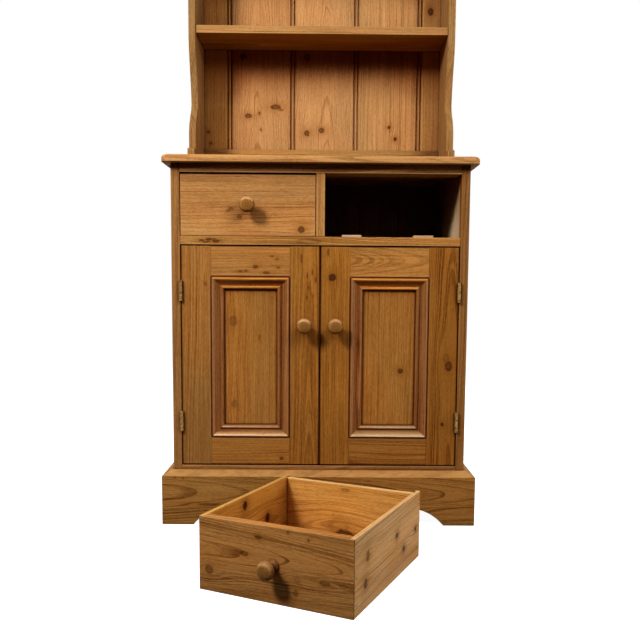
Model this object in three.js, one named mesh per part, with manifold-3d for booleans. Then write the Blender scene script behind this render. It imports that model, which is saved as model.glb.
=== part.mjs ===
// Welsh dresser in pine: a two-door, two-drawer base with an open plate rack on its worktop.
// One drawer is in its bay. The other has been taken out and stands on the floor in front.
// Millimetres, +Z up. X runs across the dresser, +Y runs from its front to its back.

import * as THREE from 'three';
import { mergeVertices } from 'three/addons/utils/BufferGeometryUtils.js';
import Module from 'manifold-3d';

const wasm = await Module();
wasm.setup();

// Fits
const seatGap = 0.3; // between a piece and the groove or recess that holds it
const slideGap = 1.5; // beside a drawer in its bay
const liftGap = 0.5; // under a drawer on its runners
const overrun = 30; // how far a cutter reaches past what it cuts
const weldDistance = 0.00001; // corners nearer than this are one corner
const unit = 1;

// How finely the curves are drawn
const archSegments = 8;
const noseSteps = 7;
const arrisSteps = 3;
const cornerSteps = 5;
const knobSegments = 24;
const knobProfileSteps = 5;
const mouldingSteps = 5;
const knuckleSegments = 8;
const pinSegments = 4;
const rackSideSegments = 12;
const beadSegments = 5;
const hollowSteps = 6;

// Carcass
const carcassWidth = 700;
const carcassDepth = 400;
const sideThickness = 20;
const bottomTop = 140; // upper face of the bottom board
const bottomThickness = 20;
const doorOpeningHeight = 527;
const midRailHeight = 20;
const bayHeight = 147;
const topRailHeight = 21;
const railDepth = 60;
const muntinWidth = 20;
const muntinDepth = 45;
const backThickness = 10;
const backBoardPitch = 110;
const backGrooveWidth = 4;
const backGrooveDepth = 2.5;

// Cupboard shelf and the housings that carry it
const cupboardShelfHeight = 240; // underside above the bottom board
const cupboardShelfThickness = 18;
const cupboardShelfSetback = 45;
const housingDepth = 6;

// Drawer runners, guide and stops
const runnerWidth = 30;
const runnerThickness = 20;
const centreRunnerWidth = 64;
const guideWidth = 16;
const guideHeight = 25;
const stopLength = 46;
const stopDepth = 30;
const stopHeight = 6;
const stopPlaceShares = [0.2, 0.735]; // across a bay, counted from the muntin

// Plinth
const plinthThickness = 24.5;
const plinthHeight = 130;
const plinthBevelRise = 12;
const plinthBevelRun = 18;
const footWidth = 75; // measured along the board, outside to the arch
const archRise = 42;
const archRun = 86; // length of the curve at each end of an arch

// Worktop
const worktopOverhang = 20;
const worktopThickness = 18;
const noseRun = 11; // the upper curve of the edge: how far it runs in over the top
const noseRise = 8; // and how far it comes down
const noseArris = 2; // radius of the lower corner
const worktopCorner = 16; // radius of the front corners, seen from above

// Doors
const doorThickness = 20;
const doorSideGap = 2.5;
const doorMeetingGap = 3;
const doorLowerGap = 3;
const doorUpperGap = 3;
const stileWidth = 70;
const doorTopRail = 71;
const doorBottomRail = 66;
const grooveDepth = 8;
const panelThickness = 8;
const panelSetback = 9; // from the door's front to the panel's front
const mouldingWidth = 31;
const mouldingProud = 3; // above the door's front
const mouldingShoulder = 3.2; // radius of the outer edge
const mouldingHollow = 3.6; // height above the panel where the ogee meets the bead
const mouldingOgeeEndShare = 0.6; // of the moulding's width
const mouldingOgeePull = 7; // length of the handles of the ogee
const mouldingBead = 7.1; // height of the inner bead above the panel
const mouldingBeadTurnShare = 0.8; // of the half turn that the bead makes
const mouldingPointGap = 0.1; // points of the section nearer than this are one
const doorKnobHeight = 335; // above the lower edge of the door

// Butt hinges
const hingeLength = 48;
const hingeInset = 105; // from the end of the door to the middle of the hinge
const knuckleRadius = 4;
const knuckleClear = 0.2; // between the knuckle and the front of the carcass
const pinRadius = 1.5;
const leafThickness = 1;
const leafReach = 17; // into the gap beside the door
const knuckleCount = 5;

// Drawers
const drawerHeadGap = 4.5; // over a drawer in its bay
const drawerRearRoom = 35; // from the end of a drawer to the back of the carcass
const drawerFrontThickness = 20;
const drawerSideThickness = 9;
const drawerBackThickness = 12;
const drawerBottomThickness = 5;
const drawerBottomRaise = 8;
const drawerLip = 2; // thin lip of the front that covers the end of a side
const drawerBackSetback = 8;
const drawerBackDrop = 3;
const drawerGroove = 4;
const drawerDado = 3;

// Where the loose drawer stands: its left front corner, and how far it is turned
const looseDrawerX = -223;
const looseDrawerY = -416.5;
const looseDrawerTurn = -25.4; // degrees about +Z

// Turned knobs
const knobDiameter = 36;
const knobLength = 38;
const knobBaseDiameter = 25;
const knobNeckDiameter = 15;
const knobCollar = 3;
const knobRingDiameter = 24; // a ring round the neck
const knobRingStartShare = 0.37; // of the length
const knobRingEndShare = 0.48;
const knobCapShare = 0.68; // of the length, where the head is widest
const knobShoulderShare = 0.75; // of the head's depth, how far its rim stays full
const knobFaceShare = 0.62; // of its radius, how far its face stays flat

// Rack
const rackWidth = 692;
const rackSideThickness = 18;
const rackHeight = 845; // sides, above the worktop
const rackBoardThickness = 14;
const rackRebate = 9;
const rackFront = 238; // front edge of the sides, behind the front of the carcass
const rackWaistBack = 36.5; // how far the waist lies behind that edge
const rackFootBack = 4.5; // how far the foot lies ahead of that edge
const rackToeReach = 28; // how far the toe stands ahead of the foot
const rackToeHeight = 53;
const rackToeRadius = 9;
const rackFootHeight = 95;
const rackWaistHeight = 179;
const rackShoulderHeight = 339;
const shoulderPullShare = 0.25; // handles of the side's curves, as shares of their rise
const upperWaistPullShare = 0.36;
const lowerWaistPullShare = 0.28;
const footPullShare = 0.4;
const shelfThickness = 19.6;
const shelfSetback = 4; // behind the front edge of the sides
const shelfNotch = 15; // length of the shelf's front that isn't let into the sides
const lowerShelfHeight = 350; // underside above the worktop
const upperShelfHeight = 604;
const lowRailHeight = 77;
const lowRailThickness = 12;

// Beaded boards at the back of the rack
const rackBoardPitch = 176.6;
const firstJoint = -254.1;
const jointCount = 4;
const beadRadius = 3;
const quirkWidth = 5.5;
const quirkDepth = 4.5;
const tongueLength = 5;
const tongueThickness = 4;

// Top board of the rack
const rackTopThickness = 22;
const rackTopOverhang = 22;
const rackTopFillet = 4;

// Finishes
const pine = new THREE.MeshStandardMaterial({ color: 0xb27c41, roughness: 0.5, metalness: 0 });
const pineLight = new THREE.MeshStandardMaterial({ color: 0xc8925a, roughness: 0.55, metalness: 0 });
const pineDoor = new THREE.MeshStandardMaterial({ color: 0xa0692d, roughness: 0.45, metalness: 0 });
const pineMoulding = new THREE.MeshStandardMaterial({ color: 0x8a4f24, roughness: 0.45, metalness: 0 });
const pineKnob = new THREE.MeshStandardMaterial({ color: 0x9a6530, roughness: 0.4, metalness: 0 });
const pineRaw = new THREE.MeshStandardMaterial({ color: 0xd2a66e, roughness: 0.75, metalness: 0 });
const brass = new THREE.MeshStandardMaterial({ color: 0x967d4b, roughness: 0.4, metalness: 0.9 });

// Places that several pieces share
const halfWidth = carcassWidth / 2;
const innerHalf = halfWidth - sideThickness;
const cupboardTop = bottomTop + doorOpeningHeight;
const bayBottom = cupboardTop + midRailHeight;
const bayTop = bayBottom + bayHeight;
const carcassHeight = bayTop + topRailHeight;
const worktopTop = carcassHeight + worktopThickness;
const backFront = carcassDepth - backThickness;
const bayWidth = innerHalf - muntinWidth / 2;
const drawerWidth = bayWidth - 2 * slideGap;
const drawerHeight = bayHeight - liftGap - drawerHeadGap;
const drawerDepth = backFront - drawerRearRoom;
const doorBottom = bottomTop + doorLowerGap;
const doorHeight = doorOpeningHeight - doorLowerGap - doorUpperGap;
const doorWidth = innerHalf - doorSideGap - doorMeetingGap / 2;
const shelfBottom = bottomTop + cupboardShelfHeight;
const rackHalf = rackWidth / 2;
const rackInnerHalf = rackHalf - rackSideThickness;
const rackBack = carcassDepth;
const rackBoardFront = rackBack - rackBoardThickness;
const rackTop = worktopTop + rackHeight;

// Geometry helpers

// A box between two exact corners.
function box(x0, x1, y0, y1, z0, z1) {
  const geometry = new THREE.BoxGeometry(unit, unit, unit);
  const position = geometry.attributes.position;
  for (let i = 0; i < position.count; i += 1) {
    position.setXYZ(
      i,
      position.getX(i) < 0 ? x0 : x1,
      position.getY(i) < 0 ? y0 : y1,
      position.getZ(i) < 0 ? z0 : z1,
    );
  }
  return geometry;
}

// An outline carried along one axis between two exact places. Along 'z' the outline is drawn in (x, y),
// along 'x' in (y, z) and along 'y' in (z, x), which keeps the faces pointing out.
function prism(shape, axis, from, to, curveSegments = archSegments) {
  const geometry = new THREE.ExtrudeGeometry(shape, { depth: unit, bevelEnabled: false, curveSegments });
  const position = geometry.attributes.position;
  for (let i = 0; i < position.count; i += 1) {
    const u = position.getX(i);
    const v = position.getY(i);
    const w = position.getZ(i) < unit / 2 ? from : to;
    if (axis === 'z') position.setXYZ(i, u, v, w);
    if (axis === 'x') position.setXYZ(i, w, u, v);
    if (axis === 'y') position.setXYZ(i, v, w, u);
  }
  return geometry;
}

// A closed body through rings of equal length: capped at both ends, or closed on itself.
function loft(rings, closed = false) {
  const count = rings[0].length;
  const vertices = rings.flat().flatMap((point) => point);
  const faces = [];
  const spans = closed ? rings.length : rings.length - 1;
  for (let r = 0; r < spans; r += 1) {
    const next = (r + 1) % rings.length;
    for (let i = 0; i < count; i += 1) {
      const j = (i + 1) % count;
      const a = r * count + i;
      const b = r * count + j;
      const c = next * count + j;
      const d = next * count + i;
      faces.push(a, b, c, a, c, d);
    }
  }
  if (!closed) {
    const last = (rings.length - 1) * count;
    for (let i = 1; i < count - 1; i += 1) {
      faces.push(0, i + 1, i);
      faces.push(last, last + i, last + i + 1);
    }
  }
  const geometry = new THREE.BufferGeometry();
  geometry.setAttribute('position', new THREE.Float32BufferAttribute(vertices, 3));
  geometry.setIndex(faces);
  geometry.computeVertexNormals();
  return geometry;
}

function toSolid(geometry) {
  const bare = geometry.clone();
  bare.deleteAttribute('normal');
  bare.deleteAttribute('uv');
  const merged = mergeVertices(bare, weldDistance);
  const mesh = new wasm.Mesh({
    numProp: 3,
    vertProperties: new Float32Array(merged.attributes.position.array),
    triVerts: new Uint32Array(merged.index.array),
  });
  return new wasm.Manifold(mesh);
}

function toGeometry(solid) {
  const mesh = solid.getMesh();
  const geometry = new THREE.BufferGeometry();
  geometry.setAttribute('position', new THREE.BufferAttribute(new Float32Array(mesh.vertProperties), 3));
  geometry.setIndex(new THREE.BufferAttribute(new Uint32Array(mesh.triVerts), 1));
  geometry.computeVertexNormals();
  return geometry;
}

function join(geometry, ...others) {
  return toGeometry(others.reduce((solid, other) => solid.add(toSolid(other)), toSolid(geometry)));
}

function cut(geometry, ...cutters) {
  return toGeometry(cutters.reduce((solid, cutter) => solid.subtract(toSolid(cutter)), toSolid(geometry)));
}

// The mirror image across X = 0, with its faces turned back to point out.
function mirrored(geometry) {
  const flipped = geometry.index ? geometry.toNonIndexed() : geometry.clone();
  const position = flipped.attributes.position;
  for (let i = 0; i < position.count; i += 3) {
    const [x0, y0, z0] = [position.getX(i), position.getY(i), position.getZ(i)];
    const [x1, y1, z1] = [position.getX(i + 1), position.getY(i + 1), position.getZ(i + 1)];
    position.setX(i + 2, -position.getX(i + 2));
    position.setXYZ(i, -x1, y1, z1);
    position.setXYZ(i + 1, -x0, y0, z0);
  }
  flipped.computeVertexNormals();
  return flipped;
}

function outline(points) {
  const shape = new THREE.Shape();
  points.forEach(([u, v], i) => (i ? shape.lineTo(u, v) : shape.moveTo(u, v)));
  shape.closePath();
  return shape;
}

const dresser = new THREE.Group();

function add(parent, name, geometry, material) {
  const mesh = new THREE.Mesh(geometry, material);
  mesh.name = name;
  parent.add(mesh);
}

// Plinth: bracket feet joined by a flat arch, from one radius that run and rise give.
const archRadius = (archRun ** 2 + archRise ** 2) / (2 * archRise);
const archAngle = Math.asin(archRun / archRadius);

// The arch as a shape in (u, z) to cut away between two feet, open below the floor.
function archShape(from, to) {
  const shape = new THREE.Shape();
  const crown = archRise - archRadius;
  shape.moveTo(from, -overrun);
  shape.lineTo(from, 0);
  shape.absarc(from + archRun, crown, archRadius, Math.PI / 2 + archAngle, Math.PI / 2, true);
  shape.absarc(to - archRun, crown, archRadius, Math.PI / 2, Math.PI / 2 - archAngle, true);
  shape.lineTo(to, -overrun);
  shape.closePath();
  return shape;
}

// The same shape with its axes exchanged, for a cutter that runs along Y.
function archShapeAcross(from, to) {
  const points = archShape(from, to).extractPoints(archSegments).shape;
  return outline(points.map((point) => [point.y, point.x]).reverse());
}

const plinthHalf = halfWidth + plinthThickness;
const sideArchShape = archShape(footWidth - plinthThickness, carcassDepth - footWidth);

function makePlinth() {
  const bevelStart = plinthHeight - plinthBevelRise;
  const mitre = seatGap / 2;
  const frontPlan = (inset) => [
    [-plinthHalf + inset + mitre, -plinthThickness + inset],
    [plinthHalf - inset - mitre, -plinthThickness + inset],
    [halfWidth - mitre, 0],
    [-halfWidth + mitre, 0],
  ];
  const sidePlan = (inset) => [
    [-plinthHalf + inset, -plinthThickness + inset + mitre],
    [-halfWidth, mitre],
    [-halfWidth, carcassDepth],
    [-plinthHalf + inset, carcassDepth],
  ];
  const board = (plan) => loft([
    plan(0).map(([x, y]) => [x, y, 0]),
    plan(0).map(([x, y]) => [x, y, bevelStart]),
    plan(plinthBevelRun).map(([x, y]) => [x, y, plinthHeight]),
  ]);
  const frontFoot = plinthHalf - footWidth;
  const frontArch = prism(archShapeAcross(-frontFoot, frontFoot), 'y', -plinthThickness - overrun, overrun);
  const sideArch = prism(sideArchShape, 'x', -plinthHalf - overrun, -innerHalf);
  const left = cut(board(sidePlan), sideArch);
  add(dresser, 'plinth_front', cut(board(frontPlan), frontArch), pine);
  add(dresser, 'plinth_left', left, pine);
  add(dresser, 'plinth_right', mirrored(left), pine);
}

// Carcass sides: boards down to the floor with the plinth's arch, a housing for the cupboard shelf
// and the outer drawer runner fixed inside.
function makeCarcass() {
  const sideBoard = box(-halfWidth, -innerHalf, 0, carcassDepth, 0, carcassHeight);
  const sideArch = prism(sideArchShape, 'x', -halfWidth - overrun, -innerHalf + overrun);
  const housing = box(
    -innerHalf - housingDepth, -innerHalf + overrun,
    cupboardShelfSetback - seatGap, backFront,
    shelfBottom - seatGap, shelfBottom + cupboardShelfThickness + seatGap,
  );
  const runner = box(
    -innerHalf - seatGap, -innerHalf + runnerWidth,
    railDepth, backFront,
    bayBottom - runnerThickness, bayBottom,
  );
  const side = join(cut(sideBoard, sideArch, housing), runner);
  add(dresser, 'left_side', side, pine);
  add(dresser, 'right_side', mirrored(side), pine);

  add(dresser, 'bottom_board', box(
    -innerHalf, innerHalf, 0, backFront,
    bottomTop - bottomThickness, bottomTop,
  ), pine);
  add(dresser, 'top_rail', box(-innerHalf, innerHalf, 0, railDepth, bayTop, carcassHeight), pine);
  add(dresser, 'muntin', box(-muntinWidth / 2, muntinWidth / 2, 0, muntinDepth, bayBottom, bayTop), pine);

  const shelfHalf = innerHalf + housingDepth - seatGap;
  add(dresser, 'cupboard_shelf', box(
    -shelfHalf, shelfHalf, cupboardShelfSetback, backFront - seatGap,
    shelfBottom, shelfBottom + cupboardShelfThickness,
  ), pineRaw);

  const centreRunner = box(
    -centreRunnerWidth / 2, centreRunnerWidth / 2,
    railDepth, backFront,
    bayBottom - runnerThickness, bayBottom,
  );
  const guide = box(
    -guideWidth / 2, guideWidth / 2,
    railDepth, backFront,
    bayBottom - seatGap, bayBottom + guideHeight,
  );
  add(dresser, 'centre_runner', join(centreRunner, guide), pineRaw);
}

// Drawer stops sit on the mid rail, just behind the drawer front.
const stopFront = drawerFrontThickness + seatGap;

function stopBox(share, side, sink) {
  const middle = side * (muntinWidth / 2 + share * bayWidth);
  return box(
    middle - stopLength / 2, middle + stopLength / 2,
    stopFront, stopFront + stopDepth,
    bayBottom - sink, bayBottom + stopHeight,
  );
}

function makeMidRail() {
  const rail = box(-innerHalf, innerHalf, 0, railDepth, cupboardTop, bayBottom);
  const leftStops = stopPlaceShares.map((share) => stopBox(share, -1, seatGap));
  add(dresser, 'mid_rail', join(rail, ...leftStops), pine);
  add(dresser, 'right_stop_inner', stopBox(stopPlaceShares[0], 1, 0), pineRaw);
  add(dresser, 'right_stop_outer', stopBox(stopPlaceShares[1], 1, 0), pineRaw);
}

// Boarded back of the base: one panel with V joints at an even pitch.
function makeBack() {
  const points = [[-innerHalf, carcassDepth], [-innerHalf, backFront]];
  const grooves = Math.floor((innerHalf - backGrooveWidth) / backBoardPitch);
  for (let i = -grooves; i <= grooves; i += 1) {
    const x = i * backBoardPitch;
    points.push([x - backGrooveWidth / 2, backFront]);
    points.push([x, backFront + backGrooveDepth]);
    points.push([x + backGrooveWidth / 2, backFront]);
  }
  points.push([innerHalf, backFront], [innerHalf, carcassDepth]);
  const panel = prism(outline(points), 'z', bottomTop - bottomThickness, carcassHeight);
  add(dresser, 'back_panel', panel, pineRaw);
}

// Worktop: an eased corner below and a long curve above run round the front, both ends and the rounded
// front corners. The back edge is square.
function makeWorktop() {
  const section = [];
  for (let i = 0; i <= arrisSteps; i += 1) {
    const angle = (Math.PI / 2) * (i / arrisSteps - 1);
    section.push([noseArris * (1 - Math.cos(angle)), carcassHeight + noseArris * (1 + Math.sin(angle))]);
  }
  for (let i = 0; i <= noseSteps; i += 1) {
    const angle = (Math.PI / 2) * (i / noseSteps);
    section.push([noseRun * (1 - Math.cos(angle)), worktopTop - noseRise + noseRise * Math.sin(angle)]);
  }
  const centreX = halfWidth + worktopOverhang - worktopCorner;
  const centreY = worktopCorner - worktopOverhang;
  const rings = section.map(([inset, z]) => {
    const radius = worktopCorner - inset;
    const ring = [];
    for (const side of [-1, 1]) {
      for (let i = 0; i <= cornerSteps; i += 1) {
        const share = side < 0 ? i / cornerSteps : 1 - i / cornerSteps;
        const angle = (Math.PI / 2) * share;
        ring.push([side * (centreX + radius * Math.cos(angle)), centreY - radius * Math.sin(angle), z]);
      }
    }
    ring.push([centreX + radius, carcassDepth, z], [-centreX - radius, carcassDepth, z]);
    return ring;
  });
  add(dresser, 'worktop', loft(rings), pineLight);
}

// Knobs are turned: a collar, a hollow neck with a ring and a flattened head. The axis runs out along -Y.
function knobGeometry(x, y, z) {
  const base = knobBaseDiameter / 2;
  const neck = knobNeckDiameter / 2;
  const head = knobDiameter / 2;
  const cap = knobLength * knobCapShare;
  const ringStart = knobLength * knobRingStartShare;
  const ringEnd = knobLength * knobRingEndShare;
  const rim = cap + (knobLength - cap) * knobShoulderShare;
  const profile = new THREE.Path();
  profile.moveTo(0, 0);
  profile.lineTo(base, 0);
  profile.lineTo(base, knobCollar);
  profile.quadraticCurveTo(neck, knobCollar, neck, ringStart);
  profile.quadraticCurveTo(knobRingDiameter / 2, (ringStart + ringEnd) / 2, neck, ringEnd);
  profile.quadraticCurveTo(neck, cap - knobCollar / 2, head, cap);
  profile.bezierCurveTo(head, rim, head * knobFaceShare, knobLength, 0, knobLength);
  const points = profile.getPoints(knobProfileSteps);
  points[points.length - 1].x = 0;
  const geometry = new THREE.LatheGeometry(points, knobSegments);
  geometry.rotateX(Math.PI);
  geometry.translate(x, y, z);
  return geometry;
}

// Doors

// Section of the moulding from the frame inwards: (distance across, height above the panel).
function mouldingSection() {
  const top = panelSetback + mouldingProud;
  const shoulder = mouldingShoulder;
  const beadStart = mouldingWidth * mouldingOgeeEndShare;
  const bead = (mouldingWidth - beadStart) / 2;
  const path = new THREE.Path();
  path.moveTo(0, 0);
  path.lineTo(0, top - shoulder);
  path.absarc(shoulder, top - shoulder, shoulder, Math.PI, Math.PI / 2, true);
  path.bezierCurveTo(
    shoulder + mouldingOgeePull, top,
    beadStart - mouldingOgeePull, mouldingHollow,
    beadStart, mouldingHollow,
  );
  path.absellipse(beadStart + bead, 0, bead, mouldingBead, Math.PI * mouldingBeadTurnShare, 0, true);
  const points = path.getPoints(mouldingSteps);
  return points.filter((point, i) => i === 0 || point.distanceTo(points[i - 1]) > mouldingPointGap);
}

// A mitred frame: the section is carried round the four corners of the opening.
function mouldingFrame(x0, x1, z0, z1, backY) {
  const rings = mouldingSection().map((point) => {
    const y = backY - point.y;
    return [
      [x0 + point.x, y, z0 + point.x],
      [x1 - point.x, y, z0 + point.x],
      [x1 - point.x, y, z1 - point.x],
      [x0 + point.x, y, z1 - point.x],
    ];
  });
  return loft(rings, true);
}

const tongueFront = panelSetback;
const tongueBack = panelSetback + panelThickness;

// The left door, drawn where it hangs. Its hinge edge is at -X.
function doorPieces() {
  const hingeEdge = -innerHalf + doorSideGap;
  const lockEdge = hingeEdge + doorWidth;
  const top = doorBottom + doorHeight;
  const openingLeft = hingeEdge + stileWidth;
  const openingRight = lockEdge - stileWidth;
  const openingBottom = doorBottom + doorBottomRail;
  const openingTop = top - doorTopRail;

  // Stiles have a groove down the inner edge for the panel and for the rails' tenons.
  const stile = (outer, inner) => {
    const into = inner - Math.sign(inner - outer) * grooveDepth;
    const points = [
      [outer, 0], [inner, 0], [inner, tongueFront - seatGap], [into, tongueFront - seatGap],
      [into, tongueBack + seatGap], [inner, tongueBack + seatGap],
      [inner, doorThickness], [outer, doorThickness],
    ];
    return prism(outline(outer < inner ? points : points.reverse()), 'z', doorBottom, top);
  };

  // Rails run between the stiles, grooved for the panel, with a tenon at each end.
  const rail = (outer, inner) => {
    const into = inner - Math.sign(inner - outer) * grooveDepth;
    const low = Math.min(outer, inner);
    const high = Math.max(outer, inner);
    const body = box(openingLeft, openingRight, 0, doorThickness, low, high);
    const groove = box(
      openingLeft - overrun, openingRight + overrun,
      tongueFront - seatGap, tongueBack + seatGap,
      Math.min(into, inner + Math.sign(inner - outer) * overrun),
      Math.max(into, inner + Math.sign(inner - outer) * overrun),
    );
    const reach = grooveDepth - seatGap;
    const tenon = box(
      openingLeft - reach, openingRight + reach, tongueFront, tongueBack,
      Math.min(outer, into), Math.max(outer, into),
    );
    return join(cut(body, groove), tenon);
  };

  const reach = grooveDepth - seatGap;
  const panel = box(
    openingLeft - reach, openingRight + reach, tongueFront, tongueBack,
    openingBottom - reach, openingTop + reach,
  );
  const moulding = mouldingFrame(
    openingLeft + seatGap, openingRight - seatGap,
    openingBottom + seatGap, openingTop - seatGap, tongueFront,
  );
  return [
    ['hinge_stile', stile(hingeEdge, openingLeft), pineDoor],
    ['lock_stile', stile(lockEdge, openingRight), pineDoor],
    ['top_rail', rail(top, openingTop), pineDoor],
    ['bottom_rail', rail(doorBottom, openingBottom), pineDoor],
    ['panel', panel, pineDoor],
    ['moulding', moulding, pineMoulding],
    ['knob', knobGeometry(lockEdge - stileWidth / 2, 0, doorBottom + doorKnobHeight), pineKnob],
  ];
}

function makeDoors() {
  for (const [name, geometry, material] of doorPieces()) {
    add(dresser, `left_door_${name}`, geometry, material);
    add(dresser, `right_door_${name}`, mirrored(geometry), material);
  }
}

// Butt hinges: the fixed leaf keeps the odd knuckles and the pin, the door leaf the even ones.
const hingeX = -innerHalf + doorSideGap / 2;
const hingeY = -knuckleRadius - knuckleClear;

function roundBar(radius, z0, z1, segments) {
  const circle = new THREE.Shape();
  circle.absarc(hingeX, hingeY, radius, 0, Math.PI * 2, false);
  return prism(circle, 'z', z0, z1, segments);
}

function hingeLeaves(middle) {
  const z0 = middle - hingeLength / 2;
  const pitch = hingeLength / knuckleCount;
  const plate = (x0, x1) => box(x0, x1, knuckleClear / 2, leafReach, z0, z0 + hingeLength);
  const fixedX = [-innerHalf, -innerHalf + leafThickness];
  const doorX = [-innerHalf + doorSideGap - leafThickness, -innerHalf + doorSideGap];
  const fixedParts = [];
  const doorParts = [];
  for (let i = 0; i < knuckleCount; i += 1) {
    const low = z0 + i * pitch + (i ? seatGap / 2 : 0);
    const high = z0 + (i + 1) * pitch - (i < knuckleCount - 1 ? seatGap / 2 : 0);
    const isFixed = i % 2 === 0;
    const [x0, x1] = isFixed ? fixedX : doorX;
    const parts = isFixed ? fixedParts : doorParts;
    parts.push(roundBar(knuckleRadius, low, high, knuckleSegments));
    parts.push(box(x0, x1, hingeY, knuckleClear, low, high));
  }
  const end = z0 + hingeLength;
  const pin = roundBar(pinRadius, z0 + pitch / 2, end - pitch / 2, pinSegments);
  const bore = roundBar(pinRadius + seatGap, z0 - overrun, end + overrun, pinSegments);
  const fixed = join(plate(...fixedX), ...fixedParts, pin);
  const door = cut(join(plate(...doorX), ...doorParts), bore);
  return { fixed, door };
}

function makeHinges() {
  const places = [
    ['lower', doorBottom + hingeInset],
    ['upper', doorBottom + doorHeight - hingeInset],
  ];
  for (const [place, middle] of places) {
    const { fixed, door } = hingeLeaves(middle);
    add(dresser, `left_${place}_hinge_fixed_leaf`, fixed, brass);
    add(dresser, `left_${place}_hinge_door_leaf`, door, brass);
    add(dresser, `right_${place}_hinge_fixed_leaf`, mirrored(fixed), brass);
    add(dresser, `right_${place}_hinge_door_leaf`, mirrored(door), brass);
  }
}

// Drawers, drawn with the left front corner at the origin and the front along +X.
function makeDrawer(parent, prefix) {
  const bottomLow = drawerBottomRaise + seatGap;
  const bottomHigh = bottomLow + drawerBottomThickness;
  const backRear = drawerDepth - drawerBackSetback;
  const backNear = backRear - drawerBackThickness;
  const sideInner = drawerSideThickness;
  const farInner = drawerWidth - drawerSideThickness;

  // The front's ends are rebated to take the sides, all but a thin lip.
  const rebate = drawerSideThickness + seatGap;
  const frontPlan = outline([
    [0, 0], [drawerWidth, 0], [drawerWidth, drawerLip], [drawerWidth - rebate, drawerLip],
    [drawerWidth - rebate, drawerFrontThickness], [rebate, drawerFrontThickness], [rebate, drawerLip],
    [0, drawerLip],
  ]);
  const bottomSlot = box(
    sideInner - drawerGroove, farInner + drawerGroove,
    drawerFrontThickness - drawerGroove, drawerDepth + overrun,
    bottomLow - seatGap, bottomHigh + seatGap,
  );
  const backDado = box(
    sideInner - drawerDado, farInner + drawerDado,
    backNear - seatGap, backRear + seatGap,
    bottomHigh, drawerHeight + overrun,
  );
  const side = (x0, x1) => cut(
    box(x0, x1, drawerLip + seatGap, drawerDepth, 0, drawerHeight), bottomSlot, backDado,
  );
  const grooveReach = drawerGroove - seatGap;
  const dadoReach = drawerDado - seatGap;

  add(parent, `${prefix}_front`, cut(prism(frontPlan, 'z', 0, drawerHeight), bottomSlot), pine);
  add(parent, `${prefix}_left_side`, side(0, sideInner), pineRaw);
  add(parent, `${prefix}_right_side`, side(farInner, drawerWidth), pineRaw);
  add(parent, `${prefix}_back`, box(
    sideInner - dadoReach, farInner + dadoReach, backNear, backRear,
    bottomHigh + seatGap, drawerHeight - drawerBackDrop,
  ), pineRaw);
  add(parent, `${prefix}_bottom`, box(
    sideInner - grooveReach, farInner + grooveReach,
    drawerFrontThickness - grooveReach, backRear, bottomLow, bottomHigh,
  ), pineRaw);
  add(parent, `${prefix}_knob`, knobGeometry(drawerWidth / 2, -seatGap, drawerHeight / 2), pineKnob);
}

function makeDrawers() {
  const inBay = new THREE.Group();
  inBay.position.set(-innerHalf + slideGap, 0, bayBottom + liftGap);
  makeDrawer(inBay, 'left_drawer');
  const loose = new THREE.Group();
  loose.position.set(looseDrawerX, looseDrawerY, 0);
  loose.rotation.z = THREE.MathUtils.degToRad(looseDrawerTurn);
  makeDrawer(loose, 'right_drawer');
  dresser.add(inBay, loose);
}

// Rack sides: a toe on the worktop, a foot, a drawn-in waist and a shoulder at the lower shelf.
function rackSideShape() {
  const toeFront = rackFront - rackFootBack - rackToeReach;
  const footFront = rackFront - rackFootBack;
  const waist = rackFront + rackWaistBack;
  const base = worktopTop;
  const toeTop = base + rackToeHeight;
  const footTop = base + rackFootHeight;
  const waistZ = base + rackWaistHeight;
  const shoulder = base + rackShoulderHeight;
  const lowerRise = waistZ - footTop;
  const upperRise = shoulder - waistZ;
  const shape = new THREE.Shape();
  shape.moveTo(rackBack, base);
  shape.lineTo(rackBack, rackTop);
  shape.lineTo(rackFront, rackTop);
  shape.lineTo(rackFront, shoulder);
  shape.bezierCurveTo(
    rackFront, shoulder - upperRise * shoulderPullShare,
    waist - rackFootBack, waistZ + upperRise * upperWaistPullShare,
    waist, waistZ,
  );
  shape.bezierCurveTo(
    waist, waistZ - lowerRise * lowerWaistPullShare,
    footFront, footTop + lowerRise * footPullShare,
    footFront, footTop,
  );
  const toeCentre = [toeFront + rackToeRadius, toeTop - rackToeRadius];
  shape.lineTo(footFront, toeTop);
  shape.absarc(...toeCentre, rackToeRadius, Math.PI / 2, Math.PI, false);
  shape.lineTo(toeFront, base);
  shape.closePath();
  return shape;
}

const shelfFront = rackFront + shelfSetback;
const shelfHousings = [lowerShelfHeight, upperShelfHeight].map((height) => worktopTop + height);

function makeRackSides() {
  const board = prism(rackSideShape(), 'x', -rackHalf, -rackInnerHalf, rackSideSegments);
  const rebate = box(
    -rackInnerHalf - rackRebate, -rackInnerHalf + overrun,
    rackBoardFront - seatGap, rackBack + overrun,
    worktopTop - overrun, rackTop + overrun,
  );
  const housings = shelfHousings.map((z) => box(
    -rackInnerHalf - housingDepth, -rackInnerHalf + overrun,
    shelfFront + shelfNotch - seatGap, rackBoardFront,
    z - seatGap, z + shelfThickness + seatGap,
  ));
  const side = cut(board, rebate, ...housings);
  add(dresser, 'rack_left_side', side, pine);
  add(dresser, 'rack_right_side', mirrored(side), pine);
}

function makeRackShelves() {
  const inner = rackInnerHalf - seatGap;
  const housed = rackInnerHalf + housingDepth - seatGap;
  const notch = shelfFront + shelfNotch;
  const back = rackBoardFront - seatGap;
  const plan = outline([
    [-inner, shelfFront], [inner, shelfFront], [inner, notch], [housed, notch],
    [housed, back], [-housed, back], [-housed, notch], [-inner, notch],
  ]);
  ['rack_lower_shelf', 'rack_upper_shelf'].forEach((name, i) => {
    add(dresser, name, prism(plan, 'z', shelfHousings[i], shelfHousings[i] + shelfThickness), pineLight);
  });
}

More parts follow.
